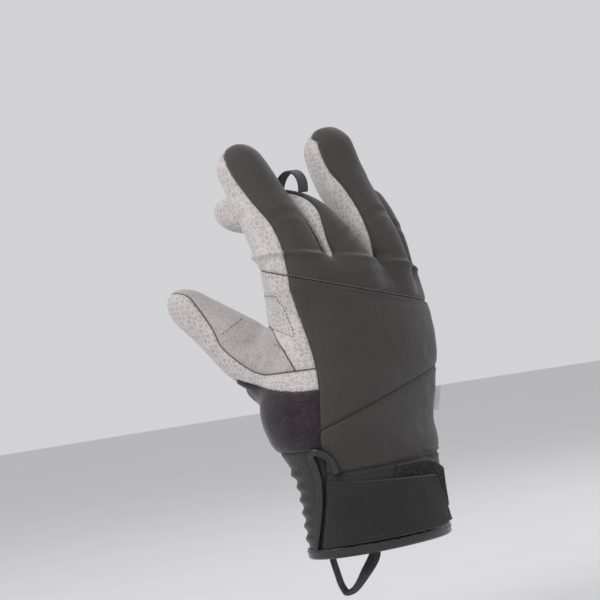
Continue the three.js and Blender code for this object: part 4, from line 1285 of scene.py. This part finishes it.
PATCH_LONG = 66.0
PILE_COUNT = 11000
PILE_LENGTH = 1.15
PILE_RADIUS = 0.10
PILE_LEAN = 0.55
PILE_CURL = 0.28
PILE_RINGS = ((0, 1.0), (0.55, 0.8), (1.0, 0.25))
PILE_ROOT = 0.95
UNDER_FLAP = 12 * MM


def make_patch(flap, material, pile_material):
    """The patch under the flap, with pile where the flap leaves it bare."""
    points, faces = plump_sheet(patch_place, PATCH_LONG, PATCH_HEIGHT, PATCH_THICKNESS)
    add_piece("loop_backing", points, faces, material, "loop_patch")
    tree = BVHTree.FromObject(flap, bpy.context.evaluated_depsgraph_get())
    draw = np.random.default_rng(5)
    u, v = draw.uniform(0.01, 0.99, (2, PILE_COUNT))
    base = patch_place(u, v, np.full_like(u, PILE_ROOT))
    up = surface_up(patch_place, u, v)
    bare = np.array([
        tree.ray_cast(Vector(p), Vector(n), UNDER_FLAP)[0] is None
        for p, n in zip(to_row(base), up)
    ])
    base, up = base[bare], up[bare]
    lean = unit(up + draw.normal(0, PILE_LEAN, base.shape))
    side = unit(np.cross(lean, draw.normal(size=base.shape)))
    other = np.cross(lean, side)
    long = PILE_LENGTH * draw.uniform(0.55, 1.1, (len(base), 1))
    curl = draw.normal(0, PILE_CURL, (len(base), 1))
    ring = []
    for height, girth in PILE_RINGS:
        middle = base + lean * long * height + side * curl * height ** 2
        for turn in (0, 2 * np.pi / 3, 4 * np.pi / 3):
            ring.append(middle + PILE_RADIUS * girth * (math.cos(turn) * side + math.sin(turn) * other))
    hairs = np.stack(ring, 1)
    start = np.arange(len(base))[:, None, None] * hairs.shape[1]
    faces = (tube_faces(len(PILE_RINGS), 3)[None] + start).reshape(-1, 3)
    add_piece("loop_pile", hairs.reshape(-1, 3), faces, pile_material)


def round_section(width, thickness, sides, crown=0.0, ribs=0, rib_height=0.0):
    """Closed section of a tape with round edges, a crown on top and fine ribs on both faces, if wanted."""
    t = np.linspace(-1, 1, sides)
    edge = (1 - np.abs(t)) * width / 2
    full = np.sqrt(1 - (1 - np.clip(edge / (thickness / 2), 0, 1)) ** 2)
    rib = rib_height * np.cos(t * np.pi * ribs) * full if ribs else 0
    top = thickness / 2 + thickness / 2 * full + crown * (1 - t ** 2) + rib
    low = thickness / 2 - thickness / 2 * full - rib
    upper = np.stack([t * width / 2, top], 1)
    lower = np.stack([t * width / 2, low], 1)[1:-1][::-1]
    return np.vstack([upper, lower])


def smooth_route(rows, count):
    """Centripetal Catmull-Rom curve through points, as in the solids."""
    rows = np.asarray(rows, float)
    ends = [2 * rows[0] - rows[1], *rows, 2 * rows[-1] - rows[-2]]
    points = []
    total = len(rows) - 1
    for k in range(count + 1):
        place = min(k / count * total, total - 1e-9)
        i = int(place)
        t = place - i
        p0, p1, p2, p3 = (ends[i + j] for j in range(4))
        d = [max(np.linalg.norm(b - a) ** 0.5, 1e-6) for a, b in ((p0, p1), (p1, p2), (p2, p3))]
        m1 = (p1 - p0) / d[0] - (p2 - p0) / (d[0] + d[1]) + (p2 - p1) / d[1]
        m2 = (p2 - p1) / d[1] - (p3 - p1) / (d[1] + d[2]) + (p3 - p2) / d[2]
        m1, m2 = m1 * d[1], m2 * d[1]
        points.append(
            (2 * t ** 3 - 3 * t ** 2 + 1) * p1 + (t ** 3 - 2 * t ** 2 + t) * m1
            + (-2 * t ** 3 + 3 * t ** 2) * p2 + (t ** 3 - t ** 2) * m2
        )
    return np.array(points)


def along_of(points):
    """Direction of a line at each of its points."""
    return unit(np.gradient(points, axis=0))


PIPING_STEPS = 110
PIPING_SIDES = 15
PIPING_CROWN = 0.25
PIPING_RUMPLE = 0.10
PIPING_INSET = 0.9
PIPING_PITCH = 2.6
THREAD_LIFT = 0.02
FINE_THREAD = 0.85


def make_piping(threads, material):
    """The tape along the slit's edge, with a row of stitches on both sides."""
    hem_edge = (HAND_LENGTH - BINDING_HEIGHT - SEAM_GAP) / HAND_LENGTH
    route = [(turn, min(down, hem_edge) * 100) for turn, down in PIPING_ROUTE]
    turn, down = smooth_route(route, PIPING_STEPS).T
    grow = 3 * SEAM_GAP
    line = on_hand(-down / 100, turn, grow)
    out = unit(on_hand(-down / 100, turn, grow + 1) - line)
    across = unit(np.cross(along_of(line), out))
    out = np.cross(across, along_of(line))
    section = round_section(PIPING_WIDTH, PIPING_THICKNESS, PIPING_SIDES, crown=PIPING_CROWN)
    points, faces = sweep(line, across, out, section)
    points = points + PIPING_RUMPLE * waves(points, 7, 31)[:, None] * np.repeat(out, len(section), 0)
    add_piece("piping", points, faces, material, "slit_binding")
    for side in (-1, 1):
        aside = across * side * (PIPING_WIDTH / 2 - PIPING_INSET)
        edge = line + aside + out * (PIPING_THICKNESS + THREAD_LIFT)
        threads.sew(edge, out, PIPING_PITCH, FINE_THREAD)


# The hem tape: points round it and round its fold, the fold's height and bulge, and the puckers of its edge
# as height, count and start
HEM_STEPS = 180
HEM_FOLD = 9
HEM_FOLD_HEIGHT = 0.6
HEM_BULGE = 1.7
HEM_PUCKERS = ((0.22, 41, 0), (0.18, 17, 1))
HEM_ROW = 1.6
HEM_PITCH = 2.8


def hem_profile(outside, inside, top):
    """Section of the folded tape: out and up from the hem's edge."""
    half = (outside - inside) / 2 + BINDING_THICKNESS
    middle = (outside + inside) / 2
    shoulder = ((0, 0), (0.9, -0.3), (1, -1))
    profile = [(outside + BINDING_THICKNESS * out, top + up) for out, up in shoulder]
    profile += [
        (middle + half * math.cos(a), HEM_FOLD_HEIGHT - SEAM_GAP - HEM_BULGE * math.sin(a))
        for a in np.linspace(0, np.pi, HEM_FOLD)
    ]
    profile += [(inside - BINDING_THICKNESS * out, top + up) for out, up in reversed(shoulder)]
    return profile + [(inside, -SEAM_GAP), (outside, -SEAM_GAP)]


def make_hem(threads, material):
    """Folded tape round the hem, with a soft puckered edge."""
    outside, inside = SEAM_GAP, -WALL - SEAM_GAP
    top = BINDING_HEIGHT
    turn = np.linspace(0, 360, HEM_STEPS + 1)[:-1]
    pucker = sum(high * np.sin(np.radians(turn) * count + start) for high, count, start in HEM_PUCKERS)
    profile = hem_profile(outside, inside, top)
    rings = []
    for grow, height in profile:
        base = on_hand(-1.0, turn, grow)
        base[:, 2] = -HAND_LENGTH + height + (pucker if height > top / 2 else 0)
        rings.append(base)
    points = np.stack(rings, 1).reshape(-1, 3)
    faces = outward(points, tube_faces(len(turn), len(profile), closed=True))
    add_piece("hem_tape", points, faces, material, "hem_binding")
    row = on_hand(-1.0, np.linspace(0, 360, 361), outside + BINDING_THICKNESS + THREAD_LIFT)
    row[:, 2] = -HAND_LENGTH + top - HEM_ROW
    threads.sew(row, unit(row * (1, 1, 0)), HEM_PITCH, FINE_THREAD)


LABEL_CURL = 0.5
LABEL_STEP = 0.7


def make_label(material):
    """The small tab in the cuff's side seam."""
    def place(u, v, w):
        down = LABEL_DOWN + LABEL_HEIGHT * (u - 0.5)
        point = on_hand(-down / HAND_LENGTH, LABEL_TURN, SEAM_GAP + LABEL_REACH * v)
        curl = LABEL_CURL * np.sin(np.pi * u) * v
        return point + np.stack([0 * u, LABEL_THICKNESS * w - curl, 0 * u], -1)

    points, faces = plump_sheet(place, LABEL_HEIGHT, LABEL_REACH, LABEL_THICKNESS, LABEL_STEP)
    add_piece("side_tab", points, faces, material, "side_label")


WEBBING_SIDES = 33
WEBBING_RIBS = 11
RIB_HEIGHT = 0.09


def add_webbing(name, line, across, out, material, node):
    """Ribbed webbing along a line."""
    section = round_section(
        WEBBING_WIDTH, WEBBING_THICKNESS, WEBBING_SIDES, ribs=WEBBING_RIBS, rib_height=RIB_HEIGHT
    )
    points, faces = sweep(line, across, out, section)
    add_piece(name, points, faces, material, node)


PULL_LOOP_STEPS = 90
HANG_LOOP_STEPS = 48


def make_pull_loop(material):
    """The webbing loop that hangs from inside the cuff, twisted as it hangs."""
    grow = -WALL - 3 * SEAM_GAP - BINDING_THICKNESS - WEBBING_WIDTH / 2
    half_turn = math.degrees(PULL_LOOP_SPAN / HAND_WIDTH)
    a, b = (on_hand(-1.0, PULL_LOOP_TURN + side * half_turn, grow) for side in (1, -1))
    tucked = -(BINDING_HEIGHT - TUCK_CLEARANCE) / PULL_LOOP_DROP

    def at(across, down):
        point = a + (b - a) * across
        point[2] = -HAND_LENGTH - down * PULL_LOOP_DROP
        return point

    line = smooth_route([at(across, down or tucked) for across, down in PULL_LOOP_ROUTE], PULL_LOOP_STEPS)
    chord = unit((b - a) * (1, 1, 0))
    depth = np.array([-chord[1], chord[0], 0])
    along = along_of(line)
    twist = math.radians(PULL_LOOP_TWIST) * smooth(np.linspace(0, 1, len(line)), *PULL_LOOP_TWISTS)
    across = [Matrix.Rotation(t, 3, Vector(d)) @ Vector(depth) for t, d in zip(twist, along)]
    across = unit(np.array(across))
    out = unit(np.cross(along, across))
    add_webbing("pull_webbing", line, across, out, material, "pull_loop")


def make_hang_loop(material):
    """The webbing loop on the middle finger that the glove hangs by."""
    middle, along, out, side, surface = hang_loop_frame()
    reach, height = HANG_LOOP_SPAN / 2 - WEBBING_THICKNESS, HANG_LOOP_HEIGHT - WEBBING_THICKNESS
    turn = np.linspace(0, np.pi, HANG_LOOP_STEPS)
    run, rise = -np.cos(turn)[:, None], np.sin(turn)[:, None]
    line = middle + along * run * reach + out * (surface + rise * height)
    up = unit(along * run + out * rise)
    across = np.repeat(side[None], len(line), 0)
    add_webbing("hang_webbing", line, across, up, material, "hang_loop")


# Materials

COAT_ROUGHNESS = 0.22


def shade(color, factor):
    """A colour made darker or paler."""
    return tuple(min(c * factor, 1) for c in color)


class Shader:
    """A node material with one Principled shader."""

    def __init__(self, name, color, roughness, sheen=0.0, sheen_roughness=0.5, coat=0.0):
        self.material = bpy.data.materials.new(name)
        self.material.use_nodes = True
        self.tree = self.material.node_tree
        self.shader = self.tree.nodes["Principled BSDF"]
        settings = {
            "Base Color": (*color, 1), "Roughness": roughness, "Sheen Weight": sheen,
            "Sheen Roughness": sheen_roughness, "Coat Weight": coat,
        }
        for socket, value in settings.items():
            self.shader.inputs[socket].default_value = value
        self.material.diffuse_color = (*color, 1)
        self.place = self.add("ShaderNodeTexCoord").outputs["Object"]

    def add(self, kind, links=None, **settings):
        """A node with links to its sockets. Settings that start with in_ are values of its sockets."""
        node = self.tree.nodes.new(kind)
        for key, value in settings.items():
            if key.startswith("in_"):
                node.inputs[key[3:].replace("_", " ")].default_value = value
            else:
                setattr(node, key, value)
        for socket, source in (links or {}).items():
            self.tree.links.new(source, node.inputs[socket])
        return node

    def stretched(self, upwards):
        """Coordinates in which a pattern is drawn out along the glove."""
        node = self.add("ShaderNodeMapping", {"Vector": self.place}, in_Scale=(1.0, 1.0, upwards))
        return node.outputs["Vector"]

    def noise(self, size, detail=2.0, rough=0.5, place=None):
        node = self.add("ShaderNodeTexNoise", {"Vector": place or self.place}, in_Scale=1 / size,
                        in_Detail=detail, in_Roughness=rough)
        return node.outputs["Fac"]

    def cells(self, size, feature="F1", randomness=1.0, place=None):
        node = self.add("ShaderNodeTexVoronoi", {"Vector": place or self.place}, feature=feature,
                        in_Scale=1 / size, in_Randomness=randomness)
        return node.outputs["Distance"]

    def attribute(self, name):
        return self.add("ShaderNodeAttribute", attribute_name=name).outputs["Fac"]

    def math(self, operation, a, b=0.0):
        node = self.add("ShaderNodeMath", operation=operation)
        for k, value in enumerate((a, b)):
            if isinstance(value, (int, float)):
                node.inputs[k].default_value = value
            else:
                self.tree.links.new(value, node.inputs[k])
        return node.outputs[0]

    def ramp(self, source, low, high, to_low=0.0, to_high=1.0):
        node = self.add("ShaderNodeMapRange", {"Value": source}, interpolation_type="SMOOTHSTEP")
        for key, value in (("From Min", low), ("From Max", high), ("To Min", to_low), ("To Max", to_high)):
            node.inputs[key].default_value = value
        return node.outputs["Result"]

    def mix(self, share, a, b, blend="MIX"):
        node = self.add("ShaderNodeMix", data_type="RGBA", blend_type=blend)
        self.tree.links.new(share, node.inputs["Factor"])
        for socket, value in (("A", a), ("B", b)):
            target = [s for s in node.inputs if s.name == socket and s.type == "RGBA"][0]
            if isinstance(value, tuple):
                target.default_value = (*value, 1)
            else:
                self.tree.links.new(value, target)
        return [s for s in node.outputs if s.type == "RGBA"][0]

    def over(self, base, color, source, low, high, start=0.0, end=1.0):
        """The base with a colour laid over it, in shares from start to end as a source rises."""
        return self.mix(self.ramp(source, low, high, start, end), base, color)

    def color(self, source):
        self.tree.links.new(source, self.shader.inputs["Base Color"])

    def roughness(self, source):
        self.tree.links.new(source, self.shader.inputs["Roughness"])

    def bump(self, *layers):
        """Layers of (height, distance in millimetres, strength)."""
        normal = None
        for height, distance, strength in layers:
            node = self.add("ShaderNodeBump", {"Height": height})
            node.inputs["Distance"].default_value = distance * MM
            node.inputs["Strength"].default_value = strength
            if normal is not None:
                self.tree.links.new(normal, node.inputs["Normal"])
            normal = node.outputs["Normal"]
        self.tree.links.new(normal, self.shader.inputs["Normal"])


def softshell(name, color, dark):
    """Close plain weave with a faint heather, painted shade in the seam grooves and paler where seams are
    rubbed.
    """
    s = Shader(name, color, 0.82, sheen=0.25, sheen_roughness=0.45)
    weave = s.cells(0.62 * MM, randomness=0.45)
    twill = s.noise(0.9 * MM, 1.0, place=s.stretched(0.35))
    cloudy = s.noise(26 * MM, 3.0)
    seam = s.attribute("seam")
    pale = shade(color, 1.38)
    base = s.over(dark, color, cloudy, 0.35, 0.68)
    base = s.over(base, pale, weave, 0.15, 0.55, 0.0, 0.55)
    base = s.over(base, shade(color, 0.62), twill, 0.58, 0.75, 0.0, 0.5)
    # Painted shade: the colour is darkened close to each seam, standing in for the shadow in the seam's
    # groove.
    base = s.over(base, shade(color, 0.2), seam, 0.1, 0.55, 0.7, 0.0)
    beside = s.math("MULTIPLY", s.ramp(seam, 0.9, 2.6, 1.0, 0.0), s.ramp(cloudy, 0.4, 0.7))
    s.color(s.mix(s.math("MULTIPLY", beside, 0.35), base, pale))
    s.roughness(s.ramp(cloudy, 0.3, 0.7, 0.74, 0.88))
    crumple = s.noise(7 * MM, 4.0, 0.6)
    s.bump((crumple, 0.9, 0.35), (weave, 0.22, 0.55), (twill, 0.15, 0.4))
    return s.material


def heather(name, color, fleck, light, printed=1.0):
    """Pale knit with dark flecks along it and painted shade in the seam grooves, printed with a fine net of
    round cells or not.
    """
    s = Shader(name, color, 0.88, sheen=0.35, sheen_roughness=0.5)
    loops = s.cells(0.75 * MM, randomness=0.6, place=s.stretched(0.6))
    streak = s.noise(0.7 * MM, 3.0, 0.75, place=s.stretched(0.4))
    specks = s.noise(1.0 * MM, 4.0, 0.8)
    cloudy = s.noise(14 * MM, 3.0)
    cell = s.cells(3.2 * MM, feature="DISTANCE_TO_EDGE", randomness=0.55)
    warp = s.math("SUBTRACT", s.noise(2.2 * MM, 2.0), 0.5)
    edge = s.math("ADD", cell, s.math("MULTIPLY", warp, 0.10))
    base = s.over(shade(color, 0.86), color, cloudy, 0.32, 0.7)
    base = s.over(base, fleck, streak, 0.50, 0.66, 0.0, 0.6)
    base = s.over(base, fleck, specks, 0.54, 0.68, 0.0, 0.6)
    base = s.over(base, light, edge, 0.05, 0.17, 0.42 * printed, 0.0)
    base = s.over(base, shade(color, 0.72), edge, 0.20, 0.42, 0.0, 0.08 * printed)
    # Painted shade: the colour is darkened close to each seam, standing in for the shadow in the seam's
    # groove.
    s.color(s.over(base, shade(color, 0.12), s.attribute("seam"), 0.25, 0.75, 0.85, 0.0))
    s.roughness(s.ramp(specks, 0.3, 0.7, 0.80, 0.94))
    crumple = s.noise(8 * MM, 4.0, 0.6)
    s.bump((crumple, 0.9, 0.3), (loops, 0.3, 0.5), (streak, 0.2, 0.4))
    return s.material


def knit(name, color, light):
    """Dark fine knit with paler streaks."""
    s = Shader(name, color, 0.92, sheen=0.4, sheen_roughness=0.4)
    streak = s.noise(1.1 * MM, 3.0, 0.7, place=s.stretched(0.6))
    loops = s.cells(0.9 * MM, randomness=0.5)
    cloudy = s.noise(12 * MM, 2.0)
    dark = shade(color, 0.6)
    base = s.over(dark, color, loops, 0.2, 0.6)
    base = s.over(base, light, streak, 0.5, 0.72, 0.0, 0.7)
    s.color(s.over(base, dark, cloudy, 0.4, 0.7, 0.0, 0.4))
    s.roughness(s.ramp(cloudy, 0.3, 0.7, 0.86, 0.97))
    s.bump((streak, 0.3, 0.5), (loops, 0.3, 0.6))
    return s.material


def tape(name, color, light, roughness):
    """Shiny folded tape with a fine weave."""
    s = Shader(name, color, roughness, coat=0.4)
    s.shader.inputs["Coat Roughness"].default_value = COAT_ROUGHNESS
    weave = s.cells(0.5 * MM, randomness=0.35)
    cloudy = s.noise(5 * MM, 3.0)
    base = s.over(color, light, weave, 0.1, 0.5, 0.0, 0.5)
    s.color(s.over(base, light, cloudy, 0.5, 0.75, 0.0, 0.35))
    s.roughness(s.ramp(cloudy, 0.3, 0.7, roughness * 0.8, roughness * 1.4))
    s.bump((cloudy, 0.5, 0.4), (weave, 0.15, 0.5))
    return s.material


def webbing(name, color, light):
    """Matt woven webbing with paler picks."""
    s = Shader(name, color, 0.62, sheen=0.2)
    pick = s.cells(0.8 * MM, randomness=0.25)
    cloudy = s.noise(6 * MM, 2.0)
    base = s.over(color, light, pick, 0.1, 0.55)
    s.color(s.over(base, color, cloudy, 0.4, 0.7, 0.0, 0.3))
    s.roughness(s.ramp(pick, 0.1, 0.6, 0.5, 0.75))
    s.bump((pick, 0.35, 0.8))
    return s.material


def pile(name, color, light):
    """Fuzzy loops in tufts."""
    s = Shader(name, color, 0.8, sheen=0.5, sheen_roughness=0.35)
    tuft = s.noise(1.6 * MM, 3.0, 0.6)
    s.color(s.over(color, light, tuft, 0.4, 0.7))
    s.roughness(s.ramp(tuft, 0.3, 0.7, 0.7, 0.95))
    s.bump((tuft, 0.5, 0.6))
    return s.material


def thread(name, color, light):
    """Sewing thread with paler plies."""
    s = Shader(name, color, 0.55, sheen=0.2)
    ply = s.noise(0.35 * MM, 1.0)
    s.color(s.over(color, light, ply, 0.35, 0.65))
    s.bump((ply, 0.12, 0.6))
    return s.material


def studio(name, color):
    """Matt floor with the faintest clouds."""
    s = Shader(name, color, 0.9)
    soft = s.noise(90 * MM, 2.0)
    s.color(s.over(shade(color, 0.985), color, soft, 0.3, 0.7))
    return s.material


# Base colours, as linear shares of red, green and blue
CHARCOAL = (0.037, 0.034, 0.0315)
CHARCOAL_DARK = (0.028, 0.0255, 0.024)
CUFF_GREY = (0.018, 0.0165, 0.0165)
CUFF_DARK = (0.012, 0.0112, 0.0115)
HEATHER = (0.50, 0.46, 0.455)
HEATHER_PLAIN = (0.43, 0.395, 0.39)
HEATHER_FLECK = (0.13, 0.115, 0.12)
HEATHER_LIGHT = (0.68, 0.635, 0.63)
KNIT = (0.020, 0.012, 0.018)
KNIT_LIGHT = (0.075, 0.048, 0.068)
TAPE = (0.004, 0.004, 0.0042)
TAPE_LIGHT = (0.010, 0.010, 0.0105)
WEBBING = (0.010, 0.010, 0.011)
WEBBING_LIGHT = (0.035, 0.035, 0.037)
BACKING = (0.006, 0.006, 0.007)
BACKING_LIGHT = (0.014, 0.014, 0.015)
PILE = (0.010, 0.010, 0.011)
PILE_LIGHT = (0.030, 0.030, 0.033)
SATIN = (0.62, 0.62, 0.64)
SATIN_LIGHT = (0.75, 0.75, 0.77)
DARK_THREAD = (0.016, 0.015, 0.015)
DARK_THREAD_LIGHT = (0.040, 0.038, 0.037)
GREY_THREAD = (0.30, 0.28, 0.28)
GREY_THREAD_LIGHT = (0.48, 0.45, 0.45)
FLOOR = (0.70, 0.70, 0.71)


def make_materials():
    """Every material of the glove, by a short name."""
    return {
        "charcoal": softshell("charcoal_softshell", CHARCOAL, CHARCOAL_DARK),
        "cuff": softshell("cuff_softshell", CUFF_GREY, CUFF_DARK),
        "printed": heather("heather_textile", HEATHER, HEATHER_FLECK, HEATHER_LIGHT),
        "plain": heather("plain_heather", HEATHER_PLAIN, HEATHER_FLECK, HEATHER, printed=0.0),
        "knit": knit("purple_black_knit", KNIT, KNIT_LIGHT),
        "tape": tape("shiny_tape", TAPE, TAPE_LIGHT, 0.3),
        "webbing": webbing("black_webbing", WEBBING, WEBBING_LIGHT),
        "backing": pile("loop_backing", BACKING, BACKING_LIGHT),
        "pile": pile("loop_pile", PILE, PILE_LIGHT),
        "satin": tape("pale_satin", SATIN, SATIN_LIGHT, 0.45),
        "dark_thread": thread("dark_thread", DARK_THREAD, DARK_THREAD_LIGHT),
        "grey_thread": thread("grey_thread", GREY_THREAD, GREY_THREAD_LIGHT),
    }


# Camera, light and floor

PHOTO_AZIMUTH = 40.0
PHOTO_ROLL = 9.0
MM_PER_PIXEL = 0.6
FRAME_PIXELS = 600
PHOTO_SHIFT = (25.0, 14.0)
PHOTO_DEPTH = 0.2
LENS = 160.0
SENSOR = 36.0
CLIP = (0.05, 30)


def add_camera():
    """Long lens at the photograph's angle, rolled as the glove hangs in it. Returns what it looks at."""
    a, r = math.radians(PHOTO_AZIMUTH), math.radians(PHOTO_ROLL)
    ahead = Vector((math.sin(a), math.cos(a), 0))
    flat = Vector((math.cos(a), -math.sin(a), 0))
    up = Vector((0, 0, 1))
    right = flat * math.cos(r) - up * math.sin(r)
    top = flat * math.sin(r) + up * math.cos(r)
    middle_depth = Vector((0, HAND_DEPTH * PHOTO_DEPTH, 0)).dot(ahead)
    target = flat * -PHOTO_SHIFT[0] + up * -PHOTO_SHIFT[1] + ahead * middle_depth
    target = Vector(to_row(np.array(target)))
    data = bpy.data.cameras.new("camera")
    data.sensor_width, data.lens = SENSOR, LENS
    data.clip_start, data.clip_end = CLIP
    distance = MM_PER_PIXEL * FRAME_PIXELS * MM * LENS / SENSOR
    camera = bpy.data.objects.new("camera", data)
    turn = Matrix((right, top, -ahead)).transposed().to_4x4()
    camera.matrix_world = Matrix.Translation(target - ahead * distance) @ turn
    bpy.context.scene.collection.objects.link(camera)
    bpy.context.scene.camera = camera
    return target


# Lights: azimuth, elevation, distance, size and power
LIGHTS = {
    "key": (-42, 38, 1.3, 0.7, 9),
    "fill": (48, 12, 1.5, 1.4, 1.2),
    "rim": (150, 40, 1.3, 0.8, 4),
}
SKY = (0.98, 0.98, 1.0, 1)
SKY_STRENGTH = 0.66


def add_light(name, target, azimuth, elevation, distance, size, power):
    """Soft square light. Azimuth is counted from the camera's side, positive to its right."""
    a = math.radians(-PHOTO_AZIMUTH + azimuth)
    e = math.radians(elevation)
    back = Vector((math.sin(a) * math.cos(e), -math.cos(a) * math.cos(e), math.sin(e)))
    data = bpy.data.lights.new(name, "AREA")
    data.size, data.energy = size, power
    light = bpy.data.objects.new(name, data)
    light.location = target + back * distance
    light.rotation_mode = "QUATERNION"
    light.rotation_quaternion = (-back).to_track_quat("-Z", "Y")
    bpy.context.scene.collection.objects.link(light)


FLOOR_DROP = 0.045
FLOOR_RADIUS = 4.0
FLOOR_SIDES = 96


def add_studio(target):
    """Lights, a pale sky and a pale round floor under the glove."""
    bpy.context.scene.view_settings.view_transform = "Standard"
    for name, settings in LIGHTS.items():
        add_light(name, target, *settings)
    world = bpy.data.worlds.new("studio")
    world.use_nodes = True
    sky = world.node_tree.nodes["Background"]
    sky.inputs["Color"].default_value = SKY
    sky.inputs["Strength"].default_value = SKY_STRENGTH
    bpy.context.scene.world = world
    height = cad_low[2] - FLOOR_DROP
    turns = np.linspace(0, 2 * np.pi, FLOOR_SIDES + 1)[:-1]
    ring = [(FLOOR_RADIUS * math.cos(t), FLOOR_RADIUS * math.sin(t), height) for t in turns]
    mesh = bpy.data.meshes.new("floor")
    mesh.from_pydata(ring, [], [tuple(range(len(ring)))])
    mesh.materials.append(studio("pale_floor", FLOOR))
    floor = bpy.data.objects.new("floor", mesh)
    bpy.context.scene.collection.objects.link(floor)


# The shell's panels: material, slot and how much of the wall is filling
PANEL_LOOKS = {
    "finger_backs": ("charcoal", "softshell", 0.35),
    "hand_back": ("charcoal", "softshell", 0.35),
    "wrist_back": ("charcoal", "softshell", 0.3),
    "cuff_back": ("cuff", "softshell", 0.2),
    "cuff_palm": ("cuff", "softshell", 0.2),
    "thumb_band": ("printed", "heather", 0.3),
    "thumb_panel": ("plain", "heather", 0.35),
    "finger_fronts": ("printed", "heather", 0.35),
    "palm": ("printed", "heather", 0.35),
    "wrist_panel": ("knit", "knit", 0.2),
}

# Topstitching: the panel, the one beside it, the offset from their seam, the pitch and the thread's size
DARK_SEAMS = [
    ("hand_back", "finger_backs", 2.0, 2.2, 0.8),
    ("wrist_back", "hand_back", 1.9, 2.6, 0.8),
    ("wrist_back", "cuff_back", 2.0, 3.0, 1.0),
    ("cuff_back", "wrist_back", 2.0, 3.0, 1.0),
]
GREY_SEAMS = [
    ("palm", "finger_fronts", 2.0, 2.6, 0.9),
    ("finger_backs", "hand_back", 0.8, 1.9, 0.6),
    ("palm", "cuff_palm", 2.0, 3.0, 1.0),
]


def sew_shell(dark, grey, shell, normals):
    """The stitches along the shell's seams and its seen lines. Each thread has its own random draws."""
    for threads, seams in ((dark, DARK_SEAMS), (grey, GREY_SEAMS)):
        for seam in seams:
            sew_seam(threads, shell, normals, *seam)
    tree = BVHTree.FromPolygons(shell.points.tolist(), shell.faces.tolist())
    for route in SEEN_STITCHES.values():
        dark.sew(*seen_line(tree, route), SEEN_PITCH, SEEN_THREAD)


def main():
    add_studio(add_camera())
    shell = make_shell()
    shape_skin(shell)
    normals = shell.normals()
    looks = make_materials()
    for name, (look, slot, fill) in PANEL_LOOKS.items():
        make_panel(name, shell, normals, looks[look])
    dark, grey = Threads(7), Threads(8)
    sew_shell(dark, grey, shell, normals)
    flap = make_strap(dark, looks["cuff"])
    make_patch(flap, looks["backing"], looks["pile"])
    make_piping(dark, looks["tape"])
    make_hem(dark, looks["tape"])
    make_label(looks["satin"])
    make_pull_loop(looks["webbing"])
    make_hang_loop(looks["webbing"])
    dark.finish("dark_stitches", looks["dark_thread"], "softshell")
    grey.finish("grey_stitches", looks["grey_thread"], "heather")


main()
